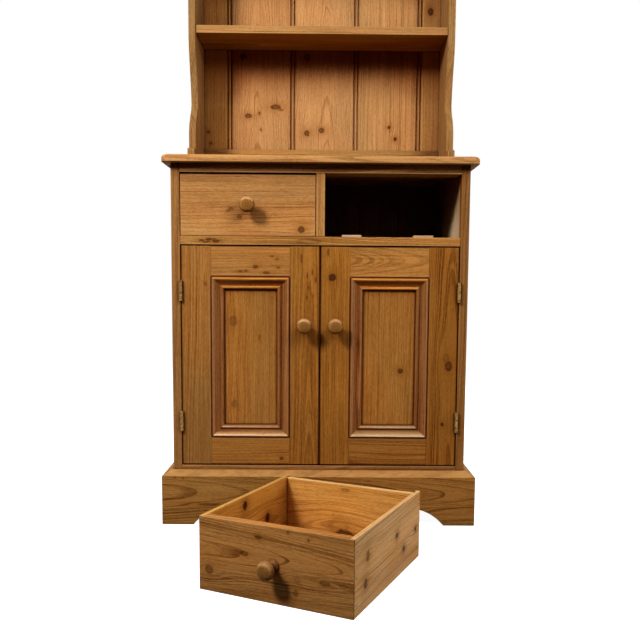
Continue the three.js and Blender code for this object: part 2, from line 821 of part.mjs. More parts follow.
// Back boards: a tongue and a chamfer on the left edge, a quirk, a bead and a groove on the right.
function boardShape(left, right, hasTongue, hasBead) {
  const front = rackBoardFront;
  const back = rackBack;
  const middle = (front + back) / 2;
  const half = tongueThickness / 2;
  const shape = new THREE.Shape();
  const start = hasTongue ? left + seatGap : left;
  const end = hasBead ? right - seatGap : right;
  shape.moveTo(hasTongue ? start + quirkWidth : start, front);
  if (hasBead) {
    const bead = end - 2 * beadRadius;
    const groove = end - tongueLength - seatGap;
    shape.lineTo(bead - quirkWidth, front);
    shape.lineTo(bead - quirkWidth / 2, front + quirkDepth);
    shape.absarc(end - beadRadius, front + beadRadius, beadRadius, Math.PI, Math.PI * 2, false);
    shape.lineTo(end, middle - half - seatGap);
    shape.lineTo(groove, middle - half - seatGap);
    shape.lineTo(groove, middle + half + seatGap);
    shape.lineTo(end, middle + half + seatGap);
  } else {
    shape.lineTo(end, front);
  }
  shape.lineTo(end, back);
  shape.lineTo(start, back);
  if (hasTongue) {
    shape.lineTo(start, middle + half);
    shape.lineTo(start - tongueLength, middle + half);
    shape.lineTo(start - tongueLength, middle - half);
    shape.lineTo(start, middle - half);
    shape.lineTo(start, front + quirkDepth);
  }
  shape.closePath();
  return shape;
}

function makeRackBack() {
  const edge = rackInnerHalf + rackRebate - seatGap;
  for (let i = 0; i <= jointCount; i += 1) {
    const left = i === 0 ? -edge : firstJoint + (i - 1) * rackBoardPitch;
    const right = i === jointCount ? edge : firstJoint + i * rackBoardPitch;
    const shape = boardShape(left, right, i > 0, i < jointCount);
    const board = prism(shape, 'z', worktopTop, rackTop, beadSegments);
    add(dresser, `rack_back_board_${i + 1}`, board, pineLight);
  }
  add(dresser, 'rack_low_rail', box(
    -rackInnerHalf, rackInnerHalf, rackBoardFront - lowRailThickness, rackBoardFront,
    worktopTop, worktopTop + lowRailHeight,
  ), pine);
}

// Top board: a hollow under a fillet runs round the front and both ends.
function makeRackTop() {
  const hollow = rackTopOverhang - rackTopFillet;
  const rise = rackTopThickness - 2 * rackTopFillet;
  const section = [[rackTopOverhang - rackTopFillet, 0]];
  for (let i = 0; i <= hollowSteps; i += 1) {
    const angle = (Math.PI / 2) * (i / hollowSteps);
    const inset = rackTopFillet + (hollow - rackTopFillet) * (1 - Math.sin(angle));
    section.push([inset, rackTopFillet / 2 + rise * (1 - Math.cos(angle))]);
  }
  section.push([0, rackTopThickness - rackTopFillet], [0, rackTopThickness]);
  const rings = section.map(([inset, height]) => {
    const x = rackHalf + rackTopOverhang - inset;
    const y = rackFront - rackTopOverhang + inset;
    const z = rackTop + height;
    return [[-x, y, z], [x, y, z], [x, carcassDepth, z], [-x, carcassDepth, z]];
  });
  add(dresser, 'rack_top', loft(rings), pine);
}

makePlinth();
makeCarcass();
makeMidRail();
makeBack();
makeWorktop();
makeDoors();
makeHinges();
makeDrawers();
makeRackSides();
makeRackShelves();
makeRackBack();
makeRackTop();

// The origin is at the middle of the footprint, on the floor. The loose drawer's right front corner is
// the foremost point and the back of the worktop is the rearmost.
const turn = THREE.MathUtils.degToRad(looseDrawerTurn);
const foremost = looseDrawerY + drawerWidth * Math.sin(turn);
dresser.position.y = -(foremost + carcassDepth) / 2;

export default dresser;
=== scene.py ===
# Welsh dresser in waxed pine, with one drawer taken out and set on the floor in front.
# Everything is in metres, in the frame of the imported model.

import math
import random

import bmesh
import bpy
from mathutils import Matrix, Vector


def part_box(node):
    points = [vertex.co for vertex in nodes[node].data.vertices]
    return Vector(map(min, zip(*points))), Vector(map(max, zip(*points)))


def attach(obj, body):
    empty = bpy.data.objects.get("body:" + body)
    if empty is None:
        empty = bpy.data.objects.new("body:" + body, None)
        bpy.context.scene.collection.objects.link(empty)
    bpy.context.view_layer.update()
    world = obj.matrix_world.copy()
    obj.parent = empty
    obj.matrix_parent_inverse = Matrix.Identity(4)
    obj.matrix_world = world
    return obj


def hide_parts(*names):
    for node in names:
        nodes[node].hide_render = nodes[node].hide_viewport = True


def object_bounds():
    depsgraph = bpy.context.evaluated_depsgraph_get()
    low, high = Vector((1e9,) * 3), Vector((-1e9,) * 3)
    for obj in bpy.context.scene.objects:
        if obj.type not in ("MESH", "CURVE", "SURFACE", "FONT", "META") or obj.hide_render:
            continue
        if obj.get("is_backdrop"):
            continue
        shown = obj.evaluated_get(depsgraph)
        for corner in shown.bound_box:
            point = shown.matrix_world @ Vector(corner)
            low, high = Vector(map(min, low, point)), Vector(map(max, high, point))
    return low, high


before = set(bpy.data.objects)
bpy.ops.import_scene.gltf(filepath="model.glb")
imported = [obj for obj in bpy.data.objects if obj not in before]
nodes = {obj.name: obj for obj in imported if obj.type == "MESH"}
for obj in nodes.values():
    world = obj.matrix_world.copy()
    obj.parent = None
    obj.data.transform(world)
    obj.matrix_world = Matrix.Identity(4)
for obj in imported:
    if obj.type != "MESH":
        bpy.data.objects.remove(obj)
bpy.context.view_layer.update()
scene = bpy.context.scene
chance = random.Random(41)  # every board takes its own cut of the log from here, in order
print("frame:", len(nodes), "nodes")

millimetre = 0.001


def mm(*values):
    return Vector([value * millimetre for value in values])


def tint(red, green, blue):  # a colour as it looks on screen, 0 to 255
    linear = []
    for value in (red, green, blue):
        share = value / 255
        linear.append(share / 12.92 if share <= 0.04045 else ((share + 0.055) / 1.055) ** 2.4)
    return (*linear, 1.0)


# Camera: nearly in the middle, level with the upper part of the doors, and tipped down.
camera = {
    "place": (0.0066, -1.7540, 0.5749),
    "tipDown": 0.0953,  # radians
    "turn": 0.0077,
    "roll": 0.0077,
    "focus": 771.0,  # in pixels of a 640 frame
    "frameSide": 640,
    "axisColumn": 328.25,  # column and row of the frame that the lens axis meets
    "axisRow": 358.48,
    "sensor": 36.0,
    "clip": (0.05, 200),
}


def makeCamera(values):
    data = bpy.data.cameras.new("camera")
    data.sensor_width = values["sensor"]
    data.lens = values["focus"] / values["frameSide"] * values["sensor"]
    data.shift_x = 0.5 - values["axisColumn"] / values["frameSide"]
    data.shift_y = values["axisRow"] / values["frameSide"] - 0.5
    data.clip_start, data.clip_end = values["clip"]
    turn, tip, roll = values["turn"], values["tipDown"], values["roll"]
    right = Vector((math.cos(turn), -math.sin(turn), 0))
    level = Vector((math.sin(turn), math.cos(turn), 0))
    ahead = level * math.cos(tip) - Vector((0, 0, 1)) * math.sin(tip)
    up = right.cross(ahead)
    rightRolled = right * math.cos(roll) + up * math.sin(roll)
    upRolled = up * math.cos(roll) - right * math.sin(roll)
    axes = Matrix((rightRolled, upRolled, -ahead)).transposed().to_4x4()
    eye = bpy.data.objects.new("camera", data)
    eye.matrix_world = Matrix.Translation(values["place"]) @ axes
    scene.collection.objects.link(eye)
    scene.camera = eye


makeCamera(camera)

# Lights: one softbox up on the left, a weaker one up on the right, a low one on the right that reaches the
# loose drawer, and two behind for the back and the sides.
lights = {
    "leftBox": {"place": (-1.30, -1.15, 1.90), "aim": (0.0, 0.1, 0.70), "size": 0.5, "power": 44},
    "rightBox": {"place": (0.98, -1.10, 1.78), "aim": (0.0, 0.1, 0.75), "size": 0.6, "power": 16.5},
    "sideBox": {"place": (2.2, -0.25, 0.6), "aim": (0.15, -0.3, 0.1), "size": 0.8, "power": 12},
    "backLeft": {"place": (-1.6, 2.2, 1.9), "aim": (0.0, 0.3, 0.7), "size": 1.2, "power": 34},
    "backRight": {"place": (1.7, 2.1, 1.6), "aim": (0.0, 0.3, 0.7), "size": 1.2, "power": 28},
}


def makeLight(name, place, aim, size, power):
    data = bpy.data.lights.new(name, "AREA")
    data.shape = "DISK"
    data.size = size
    data.energy = power
    lamp = bpy.data.objects.new(name, data)
    lamp.location = place
    lamp.rotation_mode = "QUATERNION"
    lamp.rotation_quaternion = (Vector(aim) - Vector(place)).to_track_quat("-Z", "Y")
    lamp.visible_camera = False
    scene.collection.objects.link(lamp)


for lightName, lightValues in lights.items():
    makeLight(lightName, **lightValues)


# Short hands for wiring shader nodes
class Wiring:
    def __init__(self, tree):
        self.tree = tree

    def node(self, kind, sockets=None, **settings):
        made = self.tree.nodes.new("ShaderNode" + kind)
        for key, value in settings.items():
            setattr(made, key, value)
        for title, value in (sockets or {}).items():
            self.plug(made.inputs[title], value)
        return made

    def plug(self, socket, value):
        if isinstance(value, bpy.types.NodeSocket):
            self.tree.links.new(value, socket)
        else:
            socket.default_value = value

    def feed(self, made, *values):  # fills the first inputs of a node, and gives its first output
        for socket, value in zip(made.inputs, values):
            self.plug(socket, value)
        return made.outputs[0]

    def math(self, operation, *values, clamp=False):
        return self.feed(self.node("Math", operation=operation, use_clamp=clamp), *values)

    def minus(self, first, second):
        return self.math("SUBTRACT", first, second)

    def times(self, value, *others, clamp=False):
        for other in others:
            value = self.math("MULTIPLY", value, other, clamp=clamp)
        return value

    def timesPlus(self, value, share, start, clamp=False):  # value x share + start
        return self.math("MULTIPLY_ADD", value, share, start, clamp=clamp)

    def most(self, value, *others, clamp=False):
        for other in others:
            value = self.math("MAXIMUM", value, other, clamp=clamp)
        return value

    def step(self, value, low, high, start=0.0, end=1.0):  # smooth from start to end
        return self.feed(self.node("MapRange", interpolation_type="SMOOTHSTEP"), value, low, high, start, end)

    def vector(self, operation, *values):
        return self.feed(self.node("VectorMath", operation=operation), *values)

    def length(self, place):
        made = self.node("VectorMath", operation="LENGTH")
        self.feed(made, place)
        return made.outputs["Value"]

    def gather(self, *values):
        return self.feed(self.node("CombineXYZ"), *values)

    def split(self, place):
        made = self.node("SeparateXYZ")
        self.feed(made, place)
        return tuple(made.outputs)

    def mix(self, share, first, second, blend="MIX"):
        made = self.node("Mix", data_type="RGBA", blend_type=blend)
        for index, value in ((0, share), (6, first), (7, second)):
            self.plug(made.inputs[index], value)
        return made.outputs[2]

    def noise(self, place, detail=2.0, rough=0.5, scale=1.0):
        sockets = {"Vector": place, "Scale": scale, "Detail": detail, "Roughness": rough}
        return self.node("TexNoise", sockets).outputs[0]


def startGroup(name, inputs, outputs):  # both give the titles of the sockets by their kind
    tree = bpy.data.node_groups.new(name, "ShaderNodeTree")
    for way, kinds in (("INPUT", inputs), ("OUTPUT", outputs)):
        for kind, titles in kinds.items():
            for title in titles.split():
                tree.interface.new_socket(name=title, in_out=way, socket_type="NodeSocket" + kind)
    start = tree.nodes.new("NodeGroupInput")
    end = tree.nodes.new("NodeGroupOutput")
    return Wiring(tree), start.outputs, end.inputs


# Background and floor: both look white to the camera, and the floor keeps a soft shadow.
room = {
    "fill": 0.008,  # light that comes from all round
    "floorTone": 0.80,
    "bounceTone": 0.10,  # what the floor throws back on to the wood
    "floorGlow": 0.955,  # how white the floor is in full shadow
    "shadowReach": (0.9, 2.2),  # where the shadow fades into plain white
    "floorSide": 60.0,
    "floorLevel": -0.0004,  # just under the feet
}


def whiteRay(wiring):  # 1 for the rays that should see plain white
    path = wiring.node("LightPath").outputs
    return wiring.most(path["Is Camera Ray"], path["Is Glossy Ray"], path["Is Transmission Ray"])


def makeWorld(values):
    world = bpy.data.worlds.new("studio")
    world.use_nodes = True
    wiring = Wiring(world.node_tree)
    back = world.node_tree.nodes["Background"]
    back.inputs["Color"].default_value = (1, 1, 1, 1)
    wiring.plug(back.inputs["Strength"], wiring.step(whiteRay(wiring), 0.0, 1.0, values["fill"], 1.0))
    scene.world = world


def makeFloor(values):
    half, level = values["floorSide"] / 2, values["floorLevel"]
    mesh = bpy.data.meshes.new("floor")
    corners = [(-half, -half, level), (half, -half, level), (half, half, level), (-half, half, level)]
    mesh.from_pydata(corners, [], [(0, 1, 2, 3)])
    floor = bpy.data.objects.new("floor", mesh)
    scene.collection.objects.link(floor)
    material = bpy.data.materials.new("floor")
    material.use_nodes = True
    material.node_tree.nodes.clear()
    wiring = Wiring(material.node_tree)

    def matt(tone):
        return wiring.feed(wiring.node("BsdfDiffuse"), (tone, tone, tone, 1))

    reach = wiring.length(wiring.node("TexCoord").outputs["Object"])
    strength = wiring.step(reach, *values["shadowReach"], values["floorGlow"], 1.0)
    glow = wiring.node("Emission", {"Strength": strength})
    seen = wiring.feed(wiring.node("AddShader"), glow.outputs[0], matt(values["floorTone"]))
    surface = wiring.feed(wiring.node("MixShader"), whiteRay(wiring), matt(values["bounceTone"]), seen)
    wiring.node("OutputMaterial", {"Surface": surface})
    mesh.materials.append(material)
    floor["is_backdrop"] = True


makeWorld(room)
makeFloor(room)
scene.view_settings.view_transform = "Standard"
print("studio: camera, lights, floor")

# Knot: where it lies on the board's face, how the grain parts round it, and its core, rim and halo
knotLook = {
    "core": (0.6, 1.2),  # where it ends, in radii of the knot
    "rimInner": (0.45, 0.85),
    "rimOuter": (0.9, 1.35),
    "haloReach": 2.6,
    "ragged": 1.45,
    "blotches": {"detail": 4, "rough": 0.75, "scale": 1.5},
    "blotchShift": 70.0,  # makes every knot ragged in its own way
    "spread": 2.6,  # how far the grain parts, in radii
    "along": 0.42,  # the same along the grain, as a share
    "parting": 0.85,
}


def makeKnotGroup(values):
    wiring, given, out = startGroup(
        "knot mark", {"Vector": "Place Spot", "Float": "Size Stretch"}, {"Float": "Push Core Rim Halo"}
    )
    times, step, size = wiring.times, wiring.step, given["Size"]

    def over(first, second):
        return wiring.math("DIVIDE", first, second)

    def bell(value):
        return wiring.math("EXPONENT", times(value, value, -1.0))

    along, across, _ = wiring.split(wiring.vector("SUBTRACT", given["Place"], given["Spot"]))
    alongShort = over(along, given["Stretch"])
    inSizes = wiring.vector("DIVIDE", wiring.gather(alongShort, across, 0.0), wiring.gather(size, size, 1.0))
    shift = wiring.vector("MULTIPLY", given["Spot"], [values["blotchShift"]] * 3)
    uneven = wiring.noise(wiring.vector("ADD", inSizes, shift), **values["blotches"])
    uneven = times(wiring.minus(uneven, 0.5), values["ragged"])
    reach = wiring.math("ADD", wiring.length(inSizes), uneven)
    wiring.plug(out["Core"], step(reach, *values["core"], 1.0, 0.0))
    wiring.plug(out["Rim"], times(step(reach, *values["rimInner"]), step(reach, *values["rimOuter"], 1.0, 0.0)))
    wiring.plug(out["Halo"], bell(over(reach, values["haloReach"])))
    wide = wiring.length(wiring.gather(times(alongShort, values["along"]), across, 0.0))
    fall = bell(over(over(wide, size), values["spread"]))
    wiring.plug(out["Push"], times(across, fall, -values["parting"]))
    return wiring.tree


knotGroup = makeKnotGroup(knotLook)

# Pine: growth rings of a tapering log cut by the board, with fibres, dashes, patches, worn long edges, dark
# seams at the ends, old wax in the corners that is partly painted shade, painted shade under shelves and
# undersides, and painted light on faces that look up
pineNoises = {  # how often along, across and through; detail; roughness; ends of a step, and its values
    "swaySlow": ((1.3, 4.5, 4.5), 2.0, 0.5),
    "swayQuick": ((6.0, 24.0, 24.0), 2.0, 0.5),
    "fade": ((3.0, 14.0, 14.0), 2.0, 0.5, 0.3, 0.7, 0.5, 1.1),
    "streaks": ((6.0, 340.0, 340.0), 3.0, 0.6, 0.38, 0.66),
    "fibres": ((120.0, 420.0, 420.0), 2.0, 0.6, 0.3, 0.72),
    "patches": ((2.4, 8.0, 8.0), 3.0, 0.55, 0.36, 0.64),
    "smudges": ((9.0, 30.0, 30.0), 3.0, 0.6, 0.35, 0.7),
    "patina": ((1.6, 5.5, 5.5), 3.0, 0.6, 0.3, 0.7, 0.86, 1.14),
    "dashes": ((42.0, 520.0, 520.0), 2.0, 0.55, 0.60, 0.70),
    "dashAreas": ((7.0, 40.0, 40.0), 1.0, 0.5, 0.38, 0.62),
    "uneven": ((26.0, 60.0, 60.0), 3.0, 0.6),
    "swell": ((9.0, 18.0, 18.0), 2.0, 0.5),
}
pineLook = {
    "quickShare": 0.14,
    "spacingDrift": 2.6,  # how far the rings move apart and together, and how often
    "driftScale": 38.0,
    "lateRise": (0.46, 0.86),  # shares of a ring over which it darkens, and over which it ends
    "lateEnd": (0.94, 1.0),
    "lateLuck": (0.4, 0.6),  # share of the dark left to chance, and share always there
    "streakShare": 0.28,
    "fibreShare": 0.27,
    "patchShare": 0.5,  # of the warm tone, as the next two
    "smudgeShare": 0.3,
    "warmLeast": 0.1,
    "dashShare": 0.42,
    "fleckCells": (26.0, 85.0, 85.0),
    "fleckSize": (0.06, 0.2),  # in cells
    "fleckShare": 0.7,
    "haloShare": 0.62,
    "coreShare": 0.85,
    "coreSmudges": 0.5,
    "deepCore": (2.5, -2.2),  # darkens only knots of a strength over 0.9
    "rimShare": 0.75,
    "stripEnds": (0.55, 1.25),  # where a strip along an edge fades, in widths
    "wornStrip": (0.0026, 0.005),  # width, and how far it wanders
    "seam": (0.0012, 0.0008),
    "outline": (0.0022, 0.0012),
    "innerLine": (0.0022, 0.0010),  # dark line and pale band of a frame along its moulding
    "innerBand": (0.0062, 0.008),
    "innerHalf": 0.001,  # from the middle of the board
    "lineShare": 0.9,
    "bandShare": 0.45,
    "wornUneven": (0.25, 0.6, 0.35, 1.0),
    "upUneven": (0.3, 0.7, 0.55, 1.0),
    "grimeUneven": (0.6, 0.6),
    # darkening where faces meet: partly old wax and dirt, partly painted shade
    "cavityTone": (0.40, 0.90),
    "cavitySamples": 6,
    # painted shade under shelves and tops, from how much lies overhead
    "shelterReach": 0.15,
    "shelterTone": (0.22, 0.75),
    "shelterTilt": 1.3,  # how far the search for a roof leans up
    "shelterSamples": 5,
    # faces that look down get painted shade, and faces that look up painted light
    "facesDown": (-0.9, -0.5),  # rise of the faces that look down, and up
    "facesUp": (0.2, 0.55),
    "roughBase": 0.42,
    "roughShares": {"smudges": 0.14, "late": -0.08, "grime": 0.2, "worn": -0.06},
    "heightShares": {
        "fibres": -0.35, "late": 0.5, "rim": -0.9, "flecks": -0.8, "dashes": -0.5, "seam": -1.2, "swell": 0.9,
    },
    "bump": (0.55, 0.0004),  # strength and distance
    # colour of the painted shade under shelves and tops
    "shelterColour": (0.26, 0.10, 0.033, 1.0),
    "downFaceShadeColour": (0.58, 0.48, 0.20, 1.0),  # painted shade: tone of the faces that look down
    "coreColour": tint(106, 60, 24),
    "rimColour": tint(66, 28, 8),
    "haloColour": tint(146, 84, 24),
    "dashColour": tint(104, 52, 16),
    "fleckColour": tint(84, 42, 12),
    # colour of dark seams, and of the darkening where faces meet, which is partly painted shade
    "grimeColour": tint(78, 28, 6),
}


def makePineGroup(values, noises):
    wiring, given, out = startGroup(
        "pine board",
        {
            "Vector": "Place Seed Half Heart",
            "Float": "Gap Taper Sway Contrast Flecks Worn EndWear Seam Grime Reach Inner Line From To Drift "
                     "Up Outline Shelter Push Core Rim Halo",
            "Color": "Pale Dark Warm Edge",
        },
        {"Color": "Colour", "Float": "Rough Height"},
    )
    times, timesPlus, minus, most = wiring.times, wiring.timesPlus, wiring.minus, wiring.most
    step, mix, math = wiring.step, wiring.mix, wiring.math
    place = given["Place"]

    def ownPlace(scale):
        return wiring.vector("ADD", wiring.vector("MULTIPLY", place, scale), given["Seed"])

    def noise(name):
        scale, detail, rough, *ends = noises[name]
        found = wiring.noise(ownPlace(scale), detail, rough)
        return step(found, *ends) if ends else found

    # distance from the heart of the log
    along, across, deep = wiring.split(place)
    heartAlong, heartAcross, heartDeep = wiring.split(given["Heart"])
    sway = minus(noise("swaySlow"), 0.5)
    sway = times(timesPlus(minus(noise("swayQuick"), 0.5), values["quickShare"], sway), given["Sway"])
    pushed = math("ADD", across, given["Push"])
    fromHeart = wiring.gather(0.0, minus(pushed, heartAcross), minus(deep, heartDeep))
    radius = math("ADD", wiring.length(fromHeart), sway)
    radius = timesPlus(minus(along, heartAlong), given["Taper"], radius)

    # rings: pale early wood darkening to a sharp late edge, no two alike
    drift = wiring.node("TexNoise", {"W": times(radius, values["driftScale"])}, noise_dimensions="1D")
    turns = timesPlus(drift.outputs[0], values["spacingDrift"], math("DIVIDE", radius, given["Gap"]))
    inRing = math("FRACT", turns)
    luck = wiring.node("TexWhiteNoise", {"W": math("FLOOR", turns)}, noise_dimensions="1D")
    late = times(step(inRing, *values["lateRise"]), step(inRing, *values["lateEnd"], 1.0, 0.0))
    late = times(late, timesPlus(luck.outputs["Value"], *values["lateLuck"]), noise("fade"))

    fibres, smudges, patina = noise("fibres"), noise("smudges"), noise("patina")
    darkShare = timesPlus(noise("streaks"), values["streakShare"], times(late, given["Contrast"]))
    darkShare = timesPlus(fibres, values["fibreShare"], darkShare, clamp=True)
    warmShare = timesPlus(smudges, values["smudgeShare"], values["warmLeast"])
    warmShare = timesPlus(noise("patches"), values["patchShare"], warmShare)
    colour = mix(darkShare, mix(warmShare, given["Pale"], given["Warm"]), given["Dark"])
    halfLong, halfWide, _ = wiring.split(given["Half"])
    drifted = times(math("DIVIDE", along, halfLong), given["Drift"])
    colour = mix(1.0, colour, timesPlus(drifted, patina, patina), "MULTIPLY")

    # dashes: short dark pores along the grain; flecks: round ones, in some cells only
    dashes = times(noise("dashes"), noise("dashAreas"))
    colour = mix(times(dashes, values["dashShare"]), colour, values["dashColour"])
    cells = wiring.node("TexVoronoi", {"Vector": ownPlace(values["fleckCells"]), "Scale": 1.0})
    pick = wiring.feed(wiring.node("SeparateColor"), cells.outputs["Color"])
    flecks = step(cells.outputs["Distance"], *values["fleckSize"], 1.0, 0.0)
    flecks = times(flecks, math("LESS_THAN", pick, given["Flecks"]), values["fleckShare"])
    colour = mix(flecks, colour, values["fleckColour"])

    # knots
    core, rim = given["Core"], given["Rim"]
    colour = mix(times(given["Halo"], values["haloShare"]), colour, values["haloColour"])
    deepCore = most(timesPlus(core, *values["deepCore"]), times(smudges, values["coreSmudges"]), clamp=True)
    coreSpot = mix(deepCore, values["coreColour"], values["rimColour"])
    colour = mix(times(core, values["coreShare"]), colour, coreSpot)
    colour = mix(times(rim, values["rimShare"]), colour, values["rimColour"])

    # distances to the long edges and to the ends of the board
    room3 = wiring.vector("SUBTRACT", given["Half"], wiring.vector("ABSOLUTE", place))
    toEnd, toSide, toFace = wiring.split(room3)
    longEdge = most(toSide, toFace)
    endEdge = most(toEnd, math("MINIMUM", toSide, toFace))
    uneven = noise("uneven")
    wavering = minus(uneven, 0.5)

    def strip(distance, name):
        width, wander = values[name]
        near, far = values["stripEnds"]
        return step(timesPlus(wavering, wander, distance), width * near, width * far, 1.0, 0.0)

    sided = times(across, given["Inner"])
    outer = math("LESS_THAN", sided, values["innerHalf"])
    toInner = minus(halfWide, sided)
    within = times(math("GREATER_THAN", along, given["From"]), math("LESS_THAN", along, given["To"]))
    line = times(strip(toInner, "innerLine"), within, given["Line"])
    band = times(strip(toInner, "innerBand"), within, values["bandShare"])
    outline = times(strip(longEdge, "outline"), given["Outline"], outer)
    worn = times(strip(longEdge, "wornStrip"), given["Worn"], outer)
    worn = most(worn, times(strip(endEdge, "wornStrip"), given["EndWear"]), band, clamp=True)
    worn = times(worn, step(uneven, *values["wornUneven"]))
    colour = mix(worn, colour, given["Edge"])
    seam = times(strip(endEdge, "seam"), given["Seam"], clamp=True)
    seam = most(seam, times(line, values["lineShare"]), outline)

    # old wax and dirt where faces meet, darkened by how closed-in each spot is, so partly painted shade;
    # painted shade under shelves and tops and on faces that look down, and painted light on faces that look up
    corner = wiring.node("AmbientOcclusion", {"Distance": given["Reach"]}, samples=values["cavitySamples"])
    grime = step(corner.outputs["AO"], *values["cavityTone"], 1.0, 0.0)
    grime = times(grime, timesPlus(uneven, *values["grimeUneven"]))
    grime = times(grime, given["Grime"], clamp=True)
    colour = mix(most(grime, seam), colour, values["grimeColour"])
    normal = wiring.node("NewGeometry").outputs["Normal"]
    tilted = wiring.vector("NORMALIZE", wiring.vector("ADD", normal, (0.0, 0.0, values["shelterTilt"])))
    sockets = {"Distance": values["shelterReach"], "Normal": tilted}
    roof = wiring.node("AmbientOcclusion", sockets, samples=values["shelterSamples"])
    overheadShaded = times(step(roof.outputs["AO"], *values["shelterTone"], 1.0, 0.0), given["Shelter"])
    rise = wiring.split(normal)[2]
    looksDown = step(rise, *values["facesDown"], 1.0, 0.0)
    paintedTopLight = times(step(rise, *values["facesUp"]), given["Up"], step(uneven, *values["upUneven"]))
    colour = mix(paintedTopLight, colour, given["Edge"])
    overheadShadeTint = mix(overheadShaded, (1.0, 1.0, 1.0, 1.0), values["shelterColour"])
    colour = mix(1.0, colour, mix(looksDown, overheadShadeTint, values["downFaceShadeColour"]), "MULTIPLY")
    wiring.plug(out["Colour"], colour)

    layers = {
        "smudges": smudges, "late": late, "grime": grime, "worn": worn, "fibres": fibres, "rim": rim,
        "flecks": flecks, "dashes": dashes, "seam": seam, "swell": noise("swell"),
    }
    for title, total in (("Rough", values["roughBase"]), ("Height", 0.0)):
        for name, share in values[title.lower() + "Shares"].items():
            total = timesPlus(layers[name], share, total)
        wiring.plug(out[title], total)
    return wiring.tree


pineGroup = makePineGroup(pineLook, pineNoises)

# Finishes: the tones of each, its gloss, and the material slot it fills. More gloss would let the white of
# the room show as a grey veil on faces seen from the side.
# the edge tone serves worn edges, and also the painted light on faces that look up
finishTitles = ("pale", "dark", "warm", "edge", "gloss", "slot")
finishRows = {
    "waxed": ((200, 146, 84), (118, 70, 28), (192, 126, 64), (214, 162, 108), 0.01, "waxed_pine"),
    "light": ((206, 154, 98), (132, 84, 42), (200, 138, 82), (206, 156, 100), 0.004, "light_pine"),
    "door": ((194, 133, 62), (108, 58, 16), (186, 117, 48), (196, 140, 80), 0.03, "door_pine"),
    "moulding": ((186, 136, 86), (112, 66, 34), (174, 118, 68), (204, 150, 98), 0.05, "moulding"),
    "knob": ((166, 112, 50), (104, 60, 22), (152, 94, 38), (210, 160, 108), 0.005, "turned_knob"),
    "bare": ((220, 172, 112), (154, 102, 54), (214, 152, 88), (228, 184, 130), 0.02, "bare_pine"),
    "raw": ((214, 180, 146), (166, 130, 98), (206, 166, 128), (230, 200, 172), 0.04, "bare_pine"),
    "golden": ((232, 176, 90), (168, 100, 36), (224, 152, 64), (230, 184, 118), 0.05, "bare_pine"),
    "darkInside": ((130, 92, 58), (86, 52, 26), (120, 80, 46), (140, 100, 64), 0.03, "bare_pine"),
}
finishes = {name: dict(zip(finishTitles, row)) for name, row in finishRows.items()}

# The axes along, across and through a board: it stands, or lies flat for the capital letter.
axisOrder = {"x": "XZY", "z": "ZXY", "y": "YZX", "X": "XYZ"}
upright = Matrix.Identity(4)


def boxIn(stand, points):
    inside = [stand.inverted() @ point for point in points]
    low = Vector([min(point[i] for point in inside) for i in range(3)])
    high = Vector([max(point[i] for point in inside) for i in range(3)])
    return low, high


def shaded(colour, shade):  # shade is one number, or one each for red, green and blue
    shares = shade if isinstance(shade, tuple) else (shade, shade, shade)
    return (*(min(value * share, 1) for value, share in zip(tint(*colour), shares)), 1.0)


# What a board has unless its own values say otherwise. Lengths are in metres, and the others are shares.
boardCut = {
    "gap": 0.0065,  # from ring to ring
    "taper": 0.012, "sway": 0.02, "contrast": 0.62, "flecks": 0.0, "drift": 0.0,
    "worn": 0.4, "endWear": 0.0, "seam": 0.0, "outline": 0.0,
    # darkening where faces meet, within reach, partly old wax and dirt and partly painted shade; then painted
    # shade under shelves and tops
    "grime": 0.7, "reach": 0.0065, "shelter": 1.0,
    "inner": 0, "line": 1.0,  # a frame's side along its moulding, and the dark line there
    "up": 0.0,  # painted light on faces that look up
}
boardLuck = {"across": (-0.05, 0.05), "deep": (0.03, 0.09), "seed": (3, 90)}
rawEdge = {"through": 19, "fade": (-0.5, 1.5)}  # millimetres through the side, and over which the wax ends


def addKnot(wiring, totals, place, centre, pick, first, second, radius, stretch=1.3, strength=1.0):
    flat = [first, second]
    flat.insert(pick[2], 0)
    spot = mm(*flat) - centre
    spot = (spot[pick[0]], spot[pick[1]], 0)
    sockets = {"Place": place, "Spot": spot, "Size": radius * millimetre, "Stretch": stretch}
    mark = wiring.node("Group", sockets, node_tree=knotGroup)
    for title, operation in (("Push", "ADD"), ("Core", "MAXIMUM"), ("Rim", "MAXIMUM"), ("Halo", "MAXIMUM")):
        value = mark.outputs[title]
        if title != "Push":
            value = wiring.times(value, strength)
        totals[title] = wiring.math(operation, totals[title], value) if title in totals else value


def startMaterial(name):
    material = bpy.data.materials.new(name)
    material.use_nodes = True
    return material, Wiring(material.node_tree), material.node_tree.nodes["Principled BSDF"]


def addBump(wiring, shader, height, strength, distance):
    bump = wiring.node("Bump", {"Strength": strength, "Distance": distance, "Height": height})
    wiring.plug(shader.inputs["Normal"], bump.outputs[0])


